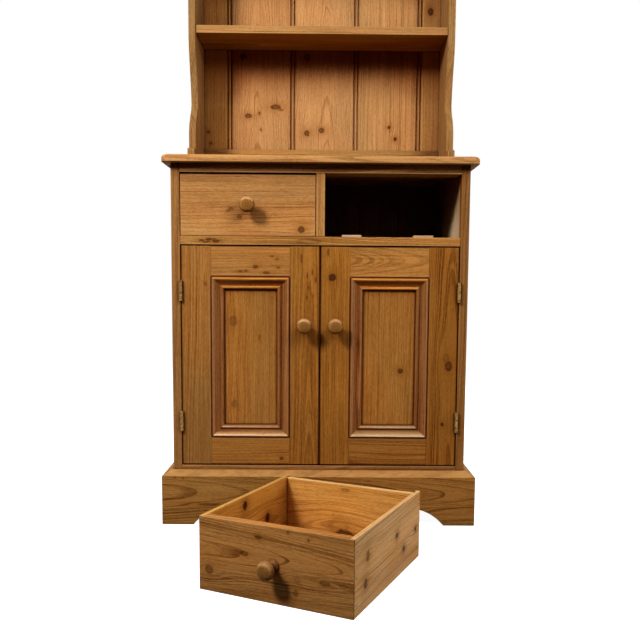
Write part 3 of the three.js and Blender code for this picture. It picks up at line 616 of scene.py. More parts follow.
def pineMaterial(
    name, finish, points, grain="x", heart=None, knots=(), span=(-9000, 9000), stand=upright,
    rough=0.0, shade=1.0, rawFrom=None, wear=None, **cut,
):
    tones = finishes[finish]
    low, high = boxIn(stand, points)
    centre, size = (low + high) / 2, high - low
    pick = ["XYZ".index(letter) for letter in axisOrder[grain]]
    half = Vector([size[i] / 2 for i in pick])
    if heart is None:
        acrossHeart = chance.uniform(*boardLuck["across"])
        heart = (0.0, acrossHeart, chance.choice((-1, 1)) * chance.uniform(*boardLuck["deep"]))
    seed = Vector([chance.uniform(*boardLuck["seed"]) for i in range(3)])
    start, end = mm(*span)
    settings = {**boardCut, **cut, "seed": seed, "half": half, "heart": heart, "from": start, "to": end}

    material, wiring, shader = startMaterial(name)
    back = stand.inverted()
    turned = wiring.node("Mapping", {
        "Vector": wiring.node("TexCoord").outputs["Object"],
        "Rotation": back.to_euler(),
        "Location": back.translation - centre,
    }, vector_type="POINT")
    parts = wiring.split(turned.outputs[0])
    place = wiring.gather(*[parts[i] for i in pick])

    totals = {}
    for knot in knots:
        addKnot(wiring, totals, place, centre, pick, *knot)
    board = wiring.node("Group", {"Place": place}, node_tree=pineGroup)
    for key, value in settings.items():
        board.inputs[key[0].upper() + key[1:]].default_value = value
    for key in ("pale", "dark", "warm", "edge"):
        colour = shaded(tones[key], shade)
        if rawFrom is not None:  # the wax stops a little way in from the front
            raw = shaded(finishes["raw"][key], rawFrom["shade"])
            inward = wiring.times(parts[0], rawFrom["side"])
            onFace = wiring.math("GREATER_THAN", inward, rawEdge["through"] * millimetre - size.x / 2)
            ends = [(rawFrom["depth"] + shift) * millimetre - size.y / 2 for shift in rawEdge["fade"]]
            colour = wiring.mix(wiring.times(onFace, wiring.step(parts[1], *ends)), colour, raw)
        wiring.plug(board.inputs[key.capitalize()], colour)
    for title, value in totals.items():
        wiring.plug(board.inputs[title], value)
    colour = board.outputs["Colour"]
    if wear is not None:  # crests lighter, hollows darker: partly wear, partly painted highlight and shade
        axis, way = wear["axis"], wear.get("way", settings["inner"])
        fromSide = wiring.timesPlus(wiring.split(place)[axis], -way / (2 * half[axis]), 0.5)
        ramp = wiring.node("ValToRGB")
        worn = wiring.feed(ramp, fromSide)
        for index, (share, tone) in enumerate(wear["stops"]):
            stop = ramp.color_ramp.elements[index] if index < 2 else ramp.color_ramp.elements.new(share)
            stop.position = share
            stop.color = (*tone, 1.0)
        lift = wear["lift"]
        colour = wiring.mix(1.0, colour, worn, "MULTIPLY")
        colour = wiring.mix(1.0, colour, (lift, lift, lift, 1.0), "MULTIPLY")
    wiring.plug(shader.inputs["Base Color"], colour)
    wiring.plug(shader.inputs["Roughness"], wiring.math("ADD", board.outputs["Rough"], rough))
    shader.inputs["Specular IOR Level"].default_value = tones["gloss"]
    addBump(wiring, shader, board.outputs["Height"], *pineLook["bump"])
    return material


def softenEdges(item, width, segments=2, angle=32.0, weldReach=0.00002):
    mesh = item.data
    mesh.polygons.foreach_set("use_smooth", [True] * len(mesh.polygons))
    weld = item.modifiers.new("weld", "WELD")
    weld.merge_threshold = weldReach
    if width:
        bevel = item.modifiers.new("worn edges", "BEVEL")
        bevel.width = width
        bevel.segments = segments
        bevel.limit_method = "ANGLE"
        bevel.angle_limit = math.radians(angle)
        bevel.use_clamp_overlap = False
        bevel.miter_outer = "MITER_ARC"
    normals = item.modifiers.new("even shading", "WEIGHTED_NORMAL")
    normals.keep_sharp = True


def worldPoints(item):
    return [item.matrix_world @ vertex.co for vertex in item.data.vertices]


def dressBoard(name, finish, edge=0.0009, **cut):
    item = nodes[name]
    material = pineMaterial("pine " + name, finish, worldPoints(item), **cut)
    item.data.materials.clear()
    item.data.materials.append(material)
    softenEdges(item, edge)


# Carcass
sideCut = {"grain": "z", "heart": (0, 0.16, 0.06), "gap": 0.006, "edge": 0.0002}
sideBoards = {
    "left": {"shade": 0.82, "rawFrom": {"side": 1, "depth": 22, "shade": 1.0}},
    "right": {"shade": (0.73, 0.70, 0.66), "rawFrom": {"side": -1, "depth": 22, "shade": (1.2, 1.34, 1.3)}},
}
for side, cut in sideBoards.items():
    dressBoard(side + "_side", "waxed", **sideCut, **cut)
bottomBoard = {"grain": "x", "heart": (0, 0.03, -0.05), "gap": 0.006}
dressBoard("bottom_board", "waxed", **bottomBoard)
topRail = {
    "grain": "x", "heart": (0, 0.01, -0.09), "gap": 0.005, "seam": 0.8, "worn": 0.5, "shelter": 0.9,
    "shade": (1.07, 1.22, 1.42),
}
dressBoard("top_rail", "waxed", **topRail)
muntin = {
    "grain": "z", "heart": (0, 0.09, 0.02), "gap": 0.0042, "seam": 0.8, "contrast": 0.7,
    "shade": (1.16, 1.2, 1.22),
}
dressBoard("muntin", "waxed", **muntin)
midRail = {
    "grain": "x", "heart": (0, -0.045, 0.02), "gap": 0.006, "sway": 0.012, "seam": 0.8, "flecks": 0.05,
    "contrast": 0.7, "shade": (1.2, 1.26, 1.15),
    "knots": [  # x, z, radius in millimetres, stretch along the grain, strength
        (-279, 677, 2, 3.2, 0.95), (-262, 679, 2.8, 2.4, 1.0), (-246, 675, 3, 2.4, 1.0),
        (-27, 676, 7, 4.0, 0.35), (-268, 673, 1.5, 5.0, 0.95), (-252, 680, 1.4, 4.5, 0.95),
        (-238, 677, 1.2, 4.0, 0.8),
    ],
}
dressBoard("mid_rail", "waxed", **midRail)
# a darker tone for the boards inside the cupboard
insideBoards = {"gap": 0.007, "worn": 0.2, "grime": 0.3}
dressBoard("back_panel", "darkInside", grain="z", **insideBoards)
dressBoard("cupboard_shelf", "darkInside", grain="x", **insideBoards)
dressBoard("centre_runner", "darkInside", grain="y", **insideBoards)
drawerStops = {"grain": "x", "gap": 0.004, "worn": 0.3, "edge": 0.0006}
stopShades = {"inner": (1.3, 1.42, 1.5), "outer": (1.2, 1.22, 1.1)}
for place, shade in stopShades.items():
    dressBoard("right_stop_" + place, "raw", shade=shade, **drawerStops)

# Plinth
# drift darkens the plinth front towards its right end, as painted shade, and up paints light on its top bevel
plinthFront = {
    "grain": "x", "heart": (0.1, 0.012, 0.035), "gap": 0.0056, "taper": 0.05, "sway": 0.022, "contrast": 0.85,
    "shade": (1.0, 0.98, 0.78), "drift": -0.10, "up": 0.7, "knots": [
        (-262, 49, 2.6, 9.0, 0.7), (-343, 115, 1.6, 1.0, 0.9), (-324, 113, 1.6, 1.0, 0.9),
        (212, 38, 5, 3.4, 0.55),
    ],
}
dressBoard("plinth_front", "waxed", edge=0.0012, **plinthFront)
plinthReturns = {"grain": "y", "heart": (0, 0.01, 0.04), "gap": 0.0065, "taper": 0.04, "contrast": 0.8}
for side in ("left", "right"):
    dressBoard("plinth_" + side, "waxed", edge=0.0012, **plinthReturns)

# Worktop
worktopBoard = {
    "grain": "X", "heart": (0, -0.06, -0.05), "gap": 0.0055, "taper": 0.02, "sway": 0.03, "contrast": 0.75,
    "worn": 0.2, "seam": 0.3, "shade": (1.14, 1.13, 1.04),
}
dressBoard("worktop", "light", edge=0, **worktopBoard)

# Rack
rackSides = {
    "grain": "z", "heart": (0, 0.1, 0.05), "gap": 0.0055, "contrast": 0.6, "worn": 0.5, "shelter": 0.3,
    "shade": (0.76, 0.87, 1.0),
}
for side in ("left", "right"):
    dressBoard("rack_" + side + "_side", "waxed", edge=0.0015, **rackSides)
rackShelves = {
    "grain": "X", "heart": (0, 0.02, -0.07), "gap": 0.0055, "contrast": 0.7, "endWear": 0.7,
    "shade": (0.95, 0.94, 0.84),
}
for place in ("lower", "upper"):
    dressBoard("rack_" + place + "_shelf", "light", **rackShelves)
rackTopBoard = {"grain": "X", "heart": (0, 0.03, -0.06), "gap": 0.0065}
dressBoard("rack_top", "waxed", edge=0.0006, **rackTopBoard)
lowRail = {"grain": "x", "heart": (0, 0.02, -0.05), "gap": 0.0045, "shade": (0.94, 0.98, 0.8)}
dressBoard("rack_low_rail", "light", **lowRail)
rackBoardCut = {"grain": "z", "gap": 0.0052, "sway": 0.02, "contrast": 0.5, "grime": 0.4, "worn": 0.1}
rackBoards = {
    1: {
        "heart": (0, 0.06, 0.03), "grime": 0.8, "shelter": 0.85, "shade": (1.28, 1.32, 1.0),
        "knots": [(-318, 999, 4, 1.0, 0.8), (-311, 968, 3.5, 1.0, 0.7), (-300, 1560, 6)],
    },
    2: {"heart": (0.0, -0.01, 0.025), "taper": 0.06, "knots": [
        (-205, 1044, 9, 0.6, 0.85), (-129, 1069, 13, 0.5, 0.85), (-114, 1061, 7, 0.35, 0.6),
        (-174, 1052, 2.5, 1.5, 0.9), (-170, 1007, 2, 1.5, 0.8), (-220, 1206, 10, 0.7, 0.8),
        (-150, 1400, 9, 0.8, 0.8),
    ]},
    3: {"heart": (0.0, 0.005, 0.02), "taper": 0.065, "shade": (1.14, 1.18, 1.2), "knots": [
        (-41, 998, 7, 1.0, 0.88), (0, 1006, 7, 0.9, 0.88), (-42, 1204, 8, 1.0, 0.8), (30, 1390, 9, 0.8, 0.7),
    ]},
    4: {
        "heart": (0.0, 0.12, 0.05), "gap": 0.0042, "contrast": 0.7, "shade": (1.13, 1.18, 1.16),
        "knots": [(189, 1016, 4, 1.0, 1.0), (207, 984, 4, 1.1, 1.1)],
    },
    5: {
        "heart": (0, -0.06, 0.03), "grime": 0.8, "shelter": 0.8, "shade": (1.5, 1.53, 1.3),
        "knots": [(300, 1330, 7)],
    },
}
for number, cut in rackBoards.items():
    dressBoard("rack_back_board_" + str(number), "light", edge=0.0005, **{**rackBoardCut, **cut})
print("carcass, plinth, worktop and rack dressed")

# Doors. The inner side of each piece of a frame, along which its moulding lies, is 1 or -1.
stileCut = {
    "grain": "z", "contrast": 0.72, "endWear": 0.1, "worn": 0.15, "outline": 0.75, "grime": 0.9,
    "span": (-193, 188),
}
railCut = {"grain": "x", "contrast": 0.62, "seam": 0.4, "worn": 0.15, "outline": 0.75, "grime": 0.9}
panelCut = {"grain": "z", "grime": 1.0, "worn": 0.0}
doorBoards = {
    "left": {
        "hinge_stile": {
            **stileCut, "inner": 1, "heart": (0, 0.10, 0.03), "shade": (0.93, 1.0, 1.2),
            "knots": [(-271, 575, 3, 1.6, 0.5)],
        },
        "lock_stile": {
            **stileCut, "inner": -1, "heart": (0, 0.012, 0.03), "gap": 0.005, "contrast": 0.5,
            "shade": (0.94, 0.92, 0.78), "knots": [
                (-44, 636, 2, 5.0, 0.8), (-30, 595, 2, 3.0, 0.7), (-18, 604, 1.8, 3.0, 0.7),
                (-10, 586, 2, 3.0, 0.7), (-27, 567, 1.8, 2.0, 0.7), (-31, 544, 1.8, 2.5, 0.7),
                (-17, 548, 1.6, 2.0, 0.6),
            ],
        },
        "top_rail": {
            **railCut, "inner": -1, "heart": (0, 0.09, 0.04), "contrast": 0.45,
            "shade": (1.2, 1.26, 1.6), "knots": [
                (-152, 616, 3.5, 1.5, 0.9), (-188, 605, 2, 2.0, 0.7), (-175, 606, 2, 2.0, 0.7),
                (-127, 602, 3, 2.5, 0.7), (-125, 594, 2, 2.5, 0.7), (-102, 634, 2.2, 2.0, 0.6),
                (-113, 641, 2, 2.0, 0.6), (-99, 614, 2, 2.0, 0.6),
            ],
        },
        "bottom_rail": {
            **railCut, "inner": 1, "heart": (0, 0.10, 0.03), "shade": 1.12,
            "knots": [(-90, 157, 3.5, 1.2, 0.9)],
        },
        "panel": {
            **panelCut, "heart": (0, 0.16, 0.05), "gap": 0.0055, "contrast": 0.45, "shade": (1.1, 1.13, 1.2),
            "knots": [(-206, 487, 9, 1.2, 0.4), (-204, 288, 7, 1.2, 0.4), (-144, 449, 2.5, 2.5, 0.5)],
        },
    },
    "right": {
        "hinge_stile": {
            **stileCut, "inner": -1, "heart": (0, 0.02, 0.05), "shade": (0.86, 0.78, 0.60),
            "knots": [(308, 383, 8, 1.3, 1.0), (302, 402, 7, 1.5, 0.35), (296, 242, 3.5, 1.2, 1.1)],
        },
        "lock_stile": {
            **stileCut, "inner": 1, "heart": (0, -0.09, 0.03), "gap": 0.0045, "shade": (1.02, 0.95, 0.72),
            "knots": [(29, 592, 8, 1.0, 1.15), (19, 651, 2.5, 3.0, 0.7)],
        },
        "top_rail": {
            **railCut, "inner": -1, "heart": (-0.1, 0.004, 0.022), "taper": 0.09, "contrast": 0.5,
            "shade": (1.21, 1.29, 1.5),
        },
        "bottom_rail": {**railCut, "inner": 1, "heart": (0, -0.03, 0.03), "shade": 0.93},
        "panel": {
            **panelCut, "heart": (0, 0.13, 0.04), "gap": 0.0038, "contrast": 0.6, "shade": 1.18,
            "knots": [(194, 370, 5.5, 1.0, 1.0)],
        },
    },
}
for side, boards in doorBoards.items():
    for part, cut in boards.items():
        dressBoard(side + "_door_" + part, "door", **cut)


# Curves for the sections of turned and moulded pieces
def bezier(start, firstPull, secondPull, end, steps):
    points = []
    for i in range(steps + 1):
        t = i / steps
        shares = ((1 - t) ** 3, 3 * t * (1 - t) ** 2, 3 * t * t * (1 - t), t ** 3)
        spots = (start, firstPull, secondPull, end)
        points.append(tuple(sum(share * spot[k] for share, spot in zip(shares, spots)) for k in (0, 1)))
    return points


def arc(centre, radii, first, last, steps):  # angles in turns
    points = []
    for i in range(steps + 1):
        angle = 2 * math.pi * (first + (last - first) * i / steps)
        points.append((centre[0] + radii[0] * math.cos(angle), centre[1] + radii[1] * math.sin(angle)))
    return points


def joined(*stretches, least=0.05):  # one line of points, each at least that far from the one before
    points = []
    for stretch in stretches:
        for point in stretch:
            if not points or math.dist(point, points[-1]) > least:
                points.append(point)
    return points


# Moulding: four mitred lengths round each panel. Its section runs from the frame inwards, in millimetres.
mouldingForm = {
    "top": 12.0, "shoulder": 3.2, "ogeePull": 7.0, "ogeeEnd": 18.6, "hollow": 3.6, "width": 31.0,
    "bead": 7.1, "beadTurn": 0.4, "steps": 12, "mitreGap": 0.00012,
}


def mouldingSection(form):
    top, shoulder, steps = form["top"], form["shoulder"], form["steps"]
    end, hollow, pull = form["ogeeEnd"], form["hollow"], form["ogeePull"]
    half = (form["width"] - end) / 2
    return joined(
        [(0, 0)],
        arc((shoulder, top - shoulder), (shoulder, shoulder), 0.5, 0.25, steps),
        bezier((shoulder, top), (shoulder + pull, top), (end - pull, hollow), (end, hollow), steps),
        arc((end + half, 0), (half, form["bead"]), form["beadTurn"], 0, steps),
    )


def meshObject(name, points, faces):
    mesh = bpy.data.meshes.new(name)
    mesh.from_pydata([tuple(point) for point in points], [], faces)
    mesh.validate()
    shape = bmesh.new()
    shape.from_mesh(mesh)
    bmesh.ops.recalc_face_normals(shape, faces=shape.faces)
    shape.to_mesh(mesh)
    shape.free()
    mesh.polygons.foreach_set("use_smooth", [True] * len(mesh.polygons))
    item = bpy.data.objects.new(name, mesh)
    scene.collection.objects.link(item)
    return item


def sharpen(item, angle=28.0):  # smooth shading that breaks at real edges
    shape = bmesh.new()
    shape.from_mesh(item.data)
    for edge in shape.edges:
        if len(edge.link_faces) == 2 and edge.calc_face_angle() > math.radians(angle):
            edge.smooth = False
    shape.to_mesh(item.data)
    shape.free()


def neighbours(count):  # round a ring
    return [(i, (i + 1) % count) for i in range(count)]


def ringFaces(first, count):  # between one ring of points and the next
    return [(first + i, first + j, first + count + j, first + count + i) for i, j in neighbours(count)]


def mouldingLength(name, body, node, run, low, high, backY, form):
    section = [(s * millimetre, h * millimetre) for s, h in mouldingSection(form)]
    points = []
    for end in (0, 1):
        for s, h in section:
            inset = s + form["mitreGap"]
            if run in ("left", "right"):
                x = low.x + s if run == "left" else high.x - s
                z = high.z - inset if end else low.z + inset
            else:
                x = high.x - inset if end else low.x + inset
                z = high.z - s if run == "top" else low.z + s
            points.append((x, backY - h, z))
    count = len(section)
    faces = [tuple(range(count)), tuple(range(2 * count - 1, count - 1, -1)), *ringFaces(0, count)]
    item = meshObject(name, points, faces)
    sharpen(item)
    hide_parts(node)
    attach(item, body)
    return item


mouldingCut = {
    "gap": 0.005, "contrast": 0.7, "grime": 0.5, "worn": 0.0, "reach": 0.006, "line": 0.0, "rough": -0.12,
}
mouldingHeart = {"across": (-0.06, 0.06), "deep": 0.03}
# tone of each run, as painted light: the bottom run, which faces up, much lighter, and the top run less blue
mouldingRunLight = {"left": 1.08, "right": 1.02, "top": (1.1, 1.1, 0.6), "bottom": (1.38, 2.05, 3.3)}
mouldingWearAndLight = {  # share of the width from the frame inwards, and tone: painted highlights on the crests and painted shade in the hollows of the top and bottom runs, partly also wear
    "x": {"axis": 1, "lift": 2.5, "stops": [
        (0.0, (0.14, 0.05, 0.02)), (0.05, (0.16, 0.07, 0.03)), (0.09, (0.54, 0.44, 0.34)),
        (0.16, (0.90, 0.86, 0.84)), (0.24, (0.60, 0.52, 0.44)), (0.36, (0.42, 0.32, 0.20)),
        (0.50, (0.30, 0.19, 0.09)), (0.60, (0.20, 0.09, 0.03)), (0.68, (0.44, 0.34, 0.22)),
        (0.76, (0.96, 0.94, 0.94)), (0.84, (0.60, 0.52, 0.44)), (0.92, (0.24, 0.12, 0.05)),
        (1.0, (0.10, 0.04, 0.02)),
    ]},
    "z": {"axis": 1, "lift": 2.5, "stops": [
        (0.0, (0.14, 0.05, 0.02)), (0.05, (0.16, 0.07, 0.03)), (0.09, (0.36, 0.31, 0.24)),
        (0.20, (0.38, 0.36, 0.34)), (0.32, (0.44, 0.38, 0.29)), (0.48, (0.42, 0.34, 0.24)),
        (0.58, (0.36, 0.25, 0.14)), (0.66, (0.37, 0.29, 0.19)), (0.76, (0.38, 0.34, 0.30)),
        (0.88, (0.36, 0.31, 0.24)), (0.95, (0.24, 0.13, 0.06)), (1.0, (0.11, 0.04, 0.02)),
    ]},
}
outward = {"left": -1, "right": 1, "top": 1, "bottom": -1}  # the side that meets the frame
for side in ("left", "right"):
    node = side + "_door_moulding"
    low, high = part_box(node)
    for run in ("left", "right", "top", "bottom"):
        item = mouldingLength(node + "_" + run, side + "_door", node, run, low, high, high.y, mouldingForm)
        grain = "z" if run in ("left", "right") else "x"
        heart = (0, chance.uniform(*mouldingHeart["across"]), mouldingHeart["deep"])
        item.data.materials.append(pineMaterial(
            "pine " + item.name, "moulding", worldPoints(item), grain=grain, heart=heart,
            inner=outward[run], shade=mouldingRunLight[run], wear=mouldingWearAndLight[grain], **mouldingCut,
        ))

# Turned knobs: a rounded foot, a hollow neck with a ring round it and a flattened head, in millimetres
knobForm = {
    "segments": 72, "steps": 9, "foot": 12.5, "footEdge": 1.5, "neck": 7.6, "ring": 10.6, "ringStart": 13.6,
    "ringEnd": 18.0, "head": 18.0, "widest": 25.8, "rim": 35.0, "face": 11.2, "length": 38.0,
    "footTurn": 0.04, "waist": 3.3, "waistDrop": 2.4, "waistPull": (1.6, 0.6), "neckPull": 5.0,
    "ringSink": 0.5, "headPulls": (4.0, 0.8, 3.0, 0.6), "crease": 50.0,
}


def knobProfile(form):  # out from the wood, and from the axis
    foot, edge, neck, head, steps = (form[key] for key in ("foot", "footEdge", "neck", "head", "steps"))
    start, end, widest, length = (form[key] for key in ("ringStart", "ringEnd", "widest", "length"))
    waist, (waistOut, waistUp), sunk = form["waist"], form["waistPull"], neck + form["ringSink"]
    neckOut, neckUp, headOut, headUp = form["headPulls"]
    return joined(
        [(0, 0)],
        arc((edge, foot - edge), (edge, edge), 0.5, form["footTurn"], steps),
        bezier((waist, foot - form["waistDrop"]), (waist + waistOut, neck + waistUp),
               (start - form["neckPull"], neck), (start, neck), steps),
        arc(((start + end) / 2, sunk), ((end - start) / 2, form["ring"] - sunk), 0.5, 0, steps),
        bezier((end, neck), (end + neckOut, neck + neckUp),
               (widest - headOut, head - headUp), (widest, head), steps),
        bezier((widest, head), (form["rim"], head), (length, form["face"]), (length, 0), 2 * steps),
    )


knobWearAndLight = {"axis": 0, "way": -1, "lift": 2.0, "stops": [  # share of the length from the face to the foot, and tone: a lighter rim and darker neck, partly wear and wax, partly painted highlight and shade
    (0.0, (0.50, 0.50, 0.50)), (0.025, (0.52, 0.52, 0.52)), (0.08, (0.78, 0.80, 0.84)),
    (0.15, (0.58, 0.57, 0.56)), (0.34, (0.46, 0.44, 0.42)), (0.50, (0.24, 0.18, 0.12)),
    (0.53, (0.34, 0.28, 0.22)), (0.59, (0.60, 0.58, 0.56)), (0.65, (0.30, 0.24, 0.17)),
    (0.68, (0.22, 0.16, 0.10)), (0.82, (0.36, 0.30, 0.24)), (0.94, (0.50, 0.46, 0.42)),
    (1.0, (0.16, 0.09, 0.05)),
]}
knobCut = {
    "grain": "y", "heart": (0, 0.006, 0.012), "gap": 0.0030, "taper": 0.0, "sway": 0.004, "contrast": 0.7,
    "worn": 0.0, "grime": 0.8, "rough": -0.24, "shade": (1.02, 1.12, 1.32), "wear": knobWearAndLight,
}


def turnedKnob(name, body, stand, place, form, up):
    count, profile = form["segments"], knobProfile(form)
    points = [stand @ (place + mm(0, -profile[end][0], 0)) for end in (0, -1)]  # middles of foot and face
    for out, radius in profile[1:-1]:
        for i in range(count):
            angle = 2 * math.pi * i / count
            points.append(stand @ (place + mm(radius * math.cos(angle), -out, radius * math.sin(angle))))
    last = len(points) - count
    faces = [face for first in range(2, last, count) for face in ringFaces(first, count)]
    for i, j in neighbours(count):
        faces.append((0, 2 + j, 2 + i))
        faces.append((last + i, last + j, 1))
    item = meshObject(name + "_turned", points, faces)
    sharpen(item, form["crease"])
    item.data.materials.append(pineMaterial("pine " + name, "knob", points, stand=stand, up=up, **knobCut))
    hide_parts(name)
    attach(item, body)


# Where the loose drawer stands as it was drawn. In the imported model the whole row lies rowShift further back.
looseDrawer = {"x": -0.223, "y": -0.4165, "turn": -25.4, "rowShift": 0.076236}
looseStand = Matrix.Translation((looseDrawer["x"], looseDrawer["y"] + looseDrawer["rowShift"], 0))
looseStand = looseStand @ Matrix.Rotation(math.radians(looseDrawer["turn"]), 4, "Z")
knobSeats = {  # body, how it stands, share of the painted highlight on its upper side
    "left_door_knob": ("left_door", upright, 0.6),
    "right_door_knob": ("right_door", upright, 0.5),
    "left_drawer_knob": ("left_drawer", upright, 0.65),
    "right_drawer_knob": ("right_drawer", looseStand, 0.3),
}
for name, (body, stand, up) in knobSeats.items():
    low, high = boxIn(stand, worldPoints(nodes[name]))
    seat = Vector(((low.x + high.x) / 2, high.y, (low.z + high.z) / 2))
    turnedKnob(name, body, stand, seat, knobForm, up)

# Drawers: the fronts are waxed, the rest is bare. The loose one has yellowed inside.
drawerBoards = {
    "left": {
        "front": ("waxed", {
            "grain": "x", "heart": (0, 0.14, 0.05), "gap": 0.0050, "contrast": 0.5, "sway": 0.014, "worn": 0.45,
            "endWear": 0.2, "seam": 0.7, "outline": 0.45, "shade": (1.22, 1.26, 1.32), "knots": [
                (-210, 751, 3, 1.8, 0.7), (-216, 746, 2.5, 2.0, 0.6), (-190, 732, 4, 1.3, 0.6),
                (-45, 703, 7, 1.0, 0.89)]}),
        "left_side": ("bare", {"grain": "y"}),
        "right_side": ("bare", {"grain": "y"}),
        "back": ("bare", {"grain": "x"}),
        "bottom": ("bare", {"grain": "X"}),
    },
    "right": {
        "front": ("waxed", {
            "grain": "x", "heart": (0.05, 0.01, 0.03), "gap": 0.0042, "taper": 0.05, "sway": 0.03,
            "contrast": 1.0, "worn": 0.3, "shade": (1.21, 1.16, 1.05), "knots": [
                (128, 119, 3, 2.2, 0.85), (99, 84, 4, 2.0, 0.65), (22, 41, 8, 1.0, 0.62),
                (189, 137, 2, 1.0, 0.8), (230, 128, 2, 1.0, 0.8), (205, 28, 6, 0.7, 0.6),
                (208, 54, 7, 1.0, 0.25), (262, 56, 5, 2.0, 0.55), (297, 56, 4, 2.0, 0.4)]}),
        "left_side": ("golden", {
            "grain": "y", "contrast": 0.8, "up": 0.6, "shade": (0.92, 0.88, 0.68),
            "knots": [(152, 123, 8, 0.9, 1.4), (245, 71, 9, 0.9, 1.4)]}),
        "right_side": ("bare", {
            "grain": "y", "heart": (0, 0.09, 0.05), "contrast": 0.9, "seam": 0.9, "up": 0.4, "flecks": 0.1,
            "shade": (1.2, 1.2, 1.12), "knots": [
                (63, 94, 9, 0.8, 0.72), (54, 46, 8, 0.9, 1.0), (215, 86, 4.5, 1.2, 1.4), (256, 47, 5, 1.2, 1.4),
                (328, 66, 4, 1.2, 1.4)]}),
        "back": ("golden", {
            "grain": "x", "heart": (0, 0.02, -0.03), "gap": 0.008, "up": 0.6, "shade": (1.22, 1.34, 1.5),
            "knots": [(152, 22, 15, 1.5, 1.0), (138, 46, 26, 0.9, 0.14), (153, 128, 4, 2.4, 0.35)]}),
        "bottom": ("golden", {"grain": "X"}),
    },
}
for side, boards in drawerBoards.items():
    stand = looseStand if side == "right" else upright
    for part, (finish, cut) in boards.items():
        dressBoard(side + "_drawer_" + part, finish, edge=0.0007, stand=stand, **cut)
print("doors and drawers dressed")

# Fasteners: domed nail heads, and countersunk screws in the hinges, in millimetres
fasteners = {
    "nailRadius": 1.7, "nailRise": 0.3, "nailSides": 9,
    "nailRings": ((1.0, -0.3), (1.0, 0.4), (0.62, 0.85)),  # shares of the radius and of the rise
    "nailUneven": (0.9, 1.06), "nailCrease": 40.0,
    "nailHeights": (22, 70, 118),  # on the side of a drawer
    "nailInsets": (9, 14),  # from its front and from its back
    "screwRadius": 2.6, "screwRise": 0.12, "slotHalf": 0.35, "slotDeep": 0.5, "screwSteps": 12,
    "screwRim": 0.4, "screwTop": 0.8, "slotRim": 0.2,  # shares of the rise, the radius and half the slot
    "screwCrease": 30.0,
    "screwSpots": ((-16, 5.5), (0, 8.5), (16, 5.5)),  # up from the middle of a hinge, and from its rear edge
    "leafFace": 0.5,  # depth at that edge over which the face of a leaf is sought
}


def acrossAndUp(outward):
    side = Vector((0, 0, 1)).cross(outward).normalized()
    return side, outward.cross(side)


def addMetal(name, points, faces, angle, metal, body):
    item = meshObject(name, points, faces)
    sharpen(item, angle)
    item.data.materials.append(metal)
    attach(item, body)


def nailHeads(name, body, spots, outward, metal, values):
    side, above = acrossAndUp(outward)
    radius, rise, count = (values[key] for key in ("nailRadius", "nailRise", "nailSides"))
    points, faces = [], []
    for spot in spots:
        first = len(points)
        for share, height in values["nailRings"]:
            for i in range(count):
                angle = 2 * math.pi * i / count
                reach = radius * share * chance.uniform(*values["nailUneven"]) * millimetre
                flat = side * math.cos(angle) + above * math.sin(angle)
                points.append(spot + flat * reach + outward * (rise * height * millimetre))
        top = len(points)
        points.append(spot + outward * (rise * millimetre))
        faces += ringFaces(first, count) + ringFaces(first + count, count)
        faces += [(first + 2 * count + i, first + 2 * count + j, top) for i, j in neighbours(count)]
        faces.append(tuple(first + i for i in reversed(range(count))))
    addMetal(name, points, faces, values["nailCrease"], metal, body)


def screwHead(points, faces, spot, outward, turn, values):  # two halves either side of a sunk slot
    side, above = acrossAndUp(outward)
    radius, steps, top = values["screwRadius"], values["screwSteps"], values["screwTop"]
    half, rise = values["slotHalf"], values["screwRise"]

    def place(u, v, out):
        across = side * math.cos(turn) + above * math.sin(turn)
        upward = above * math.cos(turn) - side * math.sin(turn)
        return spot + (across * u + upward * v + outward * out) * millimetre

    start = math.asin(half / radius)
    for way in (1, -1):
        rim = [start + (math.pi - 2 * start) * i / steps for i in range(steps + 1)]
        flat = [(radius * math.cos(angle), way * radius * math.sin(angle)) for angle in rim]
        first, count = len(points), len(flat)
        points.extend(place(u, v, -values["slotDeep"]) for u, v in flat)
        points.extend(place(u, v, rise * values["screwRim"]) for u, v in flat)
        points.extend(place(u * top, v * top + way * half * values["slotRim"], rise) for u, v in flat)
        faces += ringFaces(first, count) + ringFaces(first + count, count)
        faces.append(tuple(first + 2 * count + i for i in range(count)))
        faces.append(tuple(first + i for i in range(count)))


# Metals: aged brass for the hinges, and dark iron for the nails
metalLook = {
    "patches": {"detail": 4, "rough": 0.6, "scale": 160}, "patchEnds": (0.35, 0.65), "patchRough": 0.22,
    "scratches": (900, 900, 60), "scratchDetail": 3, "scratchRough": 0.12,
    "metallic": 0.9, "bump": (0.4, 0.0001),
}
brassLook = {**metalLook, "bright": (150, 118, 62), "dull": (100, 72, 36), "roughness": 0.5}
ironLook = {**metalLook, "bright": (74, 58, 46), "dull": (38, 26, 18), "roughness": 0.55}


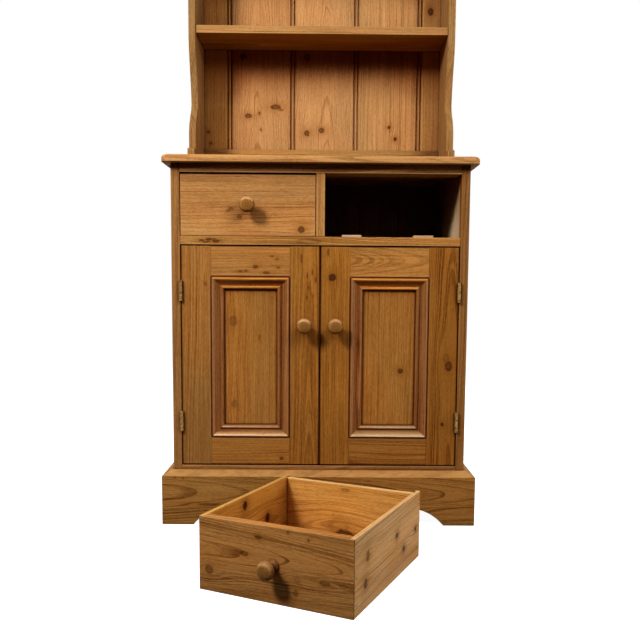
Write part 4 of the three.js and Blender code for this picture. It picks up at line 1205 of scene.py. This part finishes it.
def metalMaterial(name, values):
    material, wiring, shader = startMaterial(name)
    place = wiring.node("TexCoord").outputs["Object"]
    patches = wiring.step(wiring.noise(place, **values["patches"]), *values["patchEnds"])
    stretched = wiring.vector("MULTIPLY", place, values["scratches"])
    scratches = wiring.noise(stretched, values["scratchDetail"], values["patches"]["rough"])
    colour = wiring.mix(patches, tint(*values["bright"]), tint(*values["dull"]))
    wiring.plug(shader.inputs["Base Color"], colour)
    shader.inputs["Metallic"].default_value = values["metallic"]
    rough = wiring.timesPlus(patches, values["patchRough"], values["roughness"])
    wiring.plug(shader.inputs["Roughness"], wiring.timesPlus(scratches, values["scratchRough"], rough))
    addBump(wiring, shader, scratches, *values["bump"])
    return material


hingeEdges = {"width": 0.0002, "segments": 1, "angle": 50.0}
brass = metalMaterial("aged brass", brassLook)
for name, item in nodes.items():
    if "hinge_fixed" in name or "hinge_door" in name:
        item.data.materials.clear()
        item.data.materials.append(brass)
        softenEdges(item, **hingeEdges)


def hingeScrews(side, place, leaf, body, values):
    node = nodes[side + "_" + place + "_hinge_" + leaf]
    corners = worldPoints(node)
    low, high = boxIn(upright, corners)
    middle, deepest = (low.z + high.z) / 2, high.y
    faceSpots = [point.x for point in corners if point.y > deepest - values["leafFace"] * millimetre]
    inward = 1 if side == "left" else -1  # from the carcass side towards the door
    towards = inward if leaf == "fixed_leaf" else -inward
    face = max(faceSpots) if towards > 0 else min(faceSpots)
    points, faces = [], []
    for height, depth in values["screwSpots"]:
        spot = Vector((face, deepest - depth * millimetre, middle + height * millimetre))
        screwHead(points, faces, spot, Vector((towards, 0, 0)), chance.uniform(0, math.pi), values)
    addMetal(node.name + "_screws", points, faces, values["screwCrease"], brass, body)


for side in ("left", "right"):
    for place in ("lower", "upper"):
        hingeScrews(side, place, "fixed_leaf", "carcass", fasteners)
        hingeScrews(side, place, "door_leaf", side + "_door", fasteners)
iron = metalMaterial("dark iron", ironLook)
frontInset, backInset = mm(*fasteners["nailInsets"])
for side, stand in (("left", upright), ("right", looseStand)):
    for face, way in (("left", -1), ("right", 1)):
        node = nodes[side + "_drawer_" + face + "_side"]
        low, high = boxIn(stand, worldPoints(node))
        x = low.x if way < 0 else high.x
        spots = []
        for height in fasteners["nailHeights"]:
            for y in (low.y + frontInset, high.y - backInset):
                spots.append(stand @ Vector((x, y, low.z + height * millimetre)))
        outward = stand.to_3x3() @ Vector((way, 0, 0))
        nailHeads(node.name + "_nails", side + "_drawer", spots, outward, iron, fasteners)
print("hinges dressed, screws and nails in")

low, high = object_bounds()
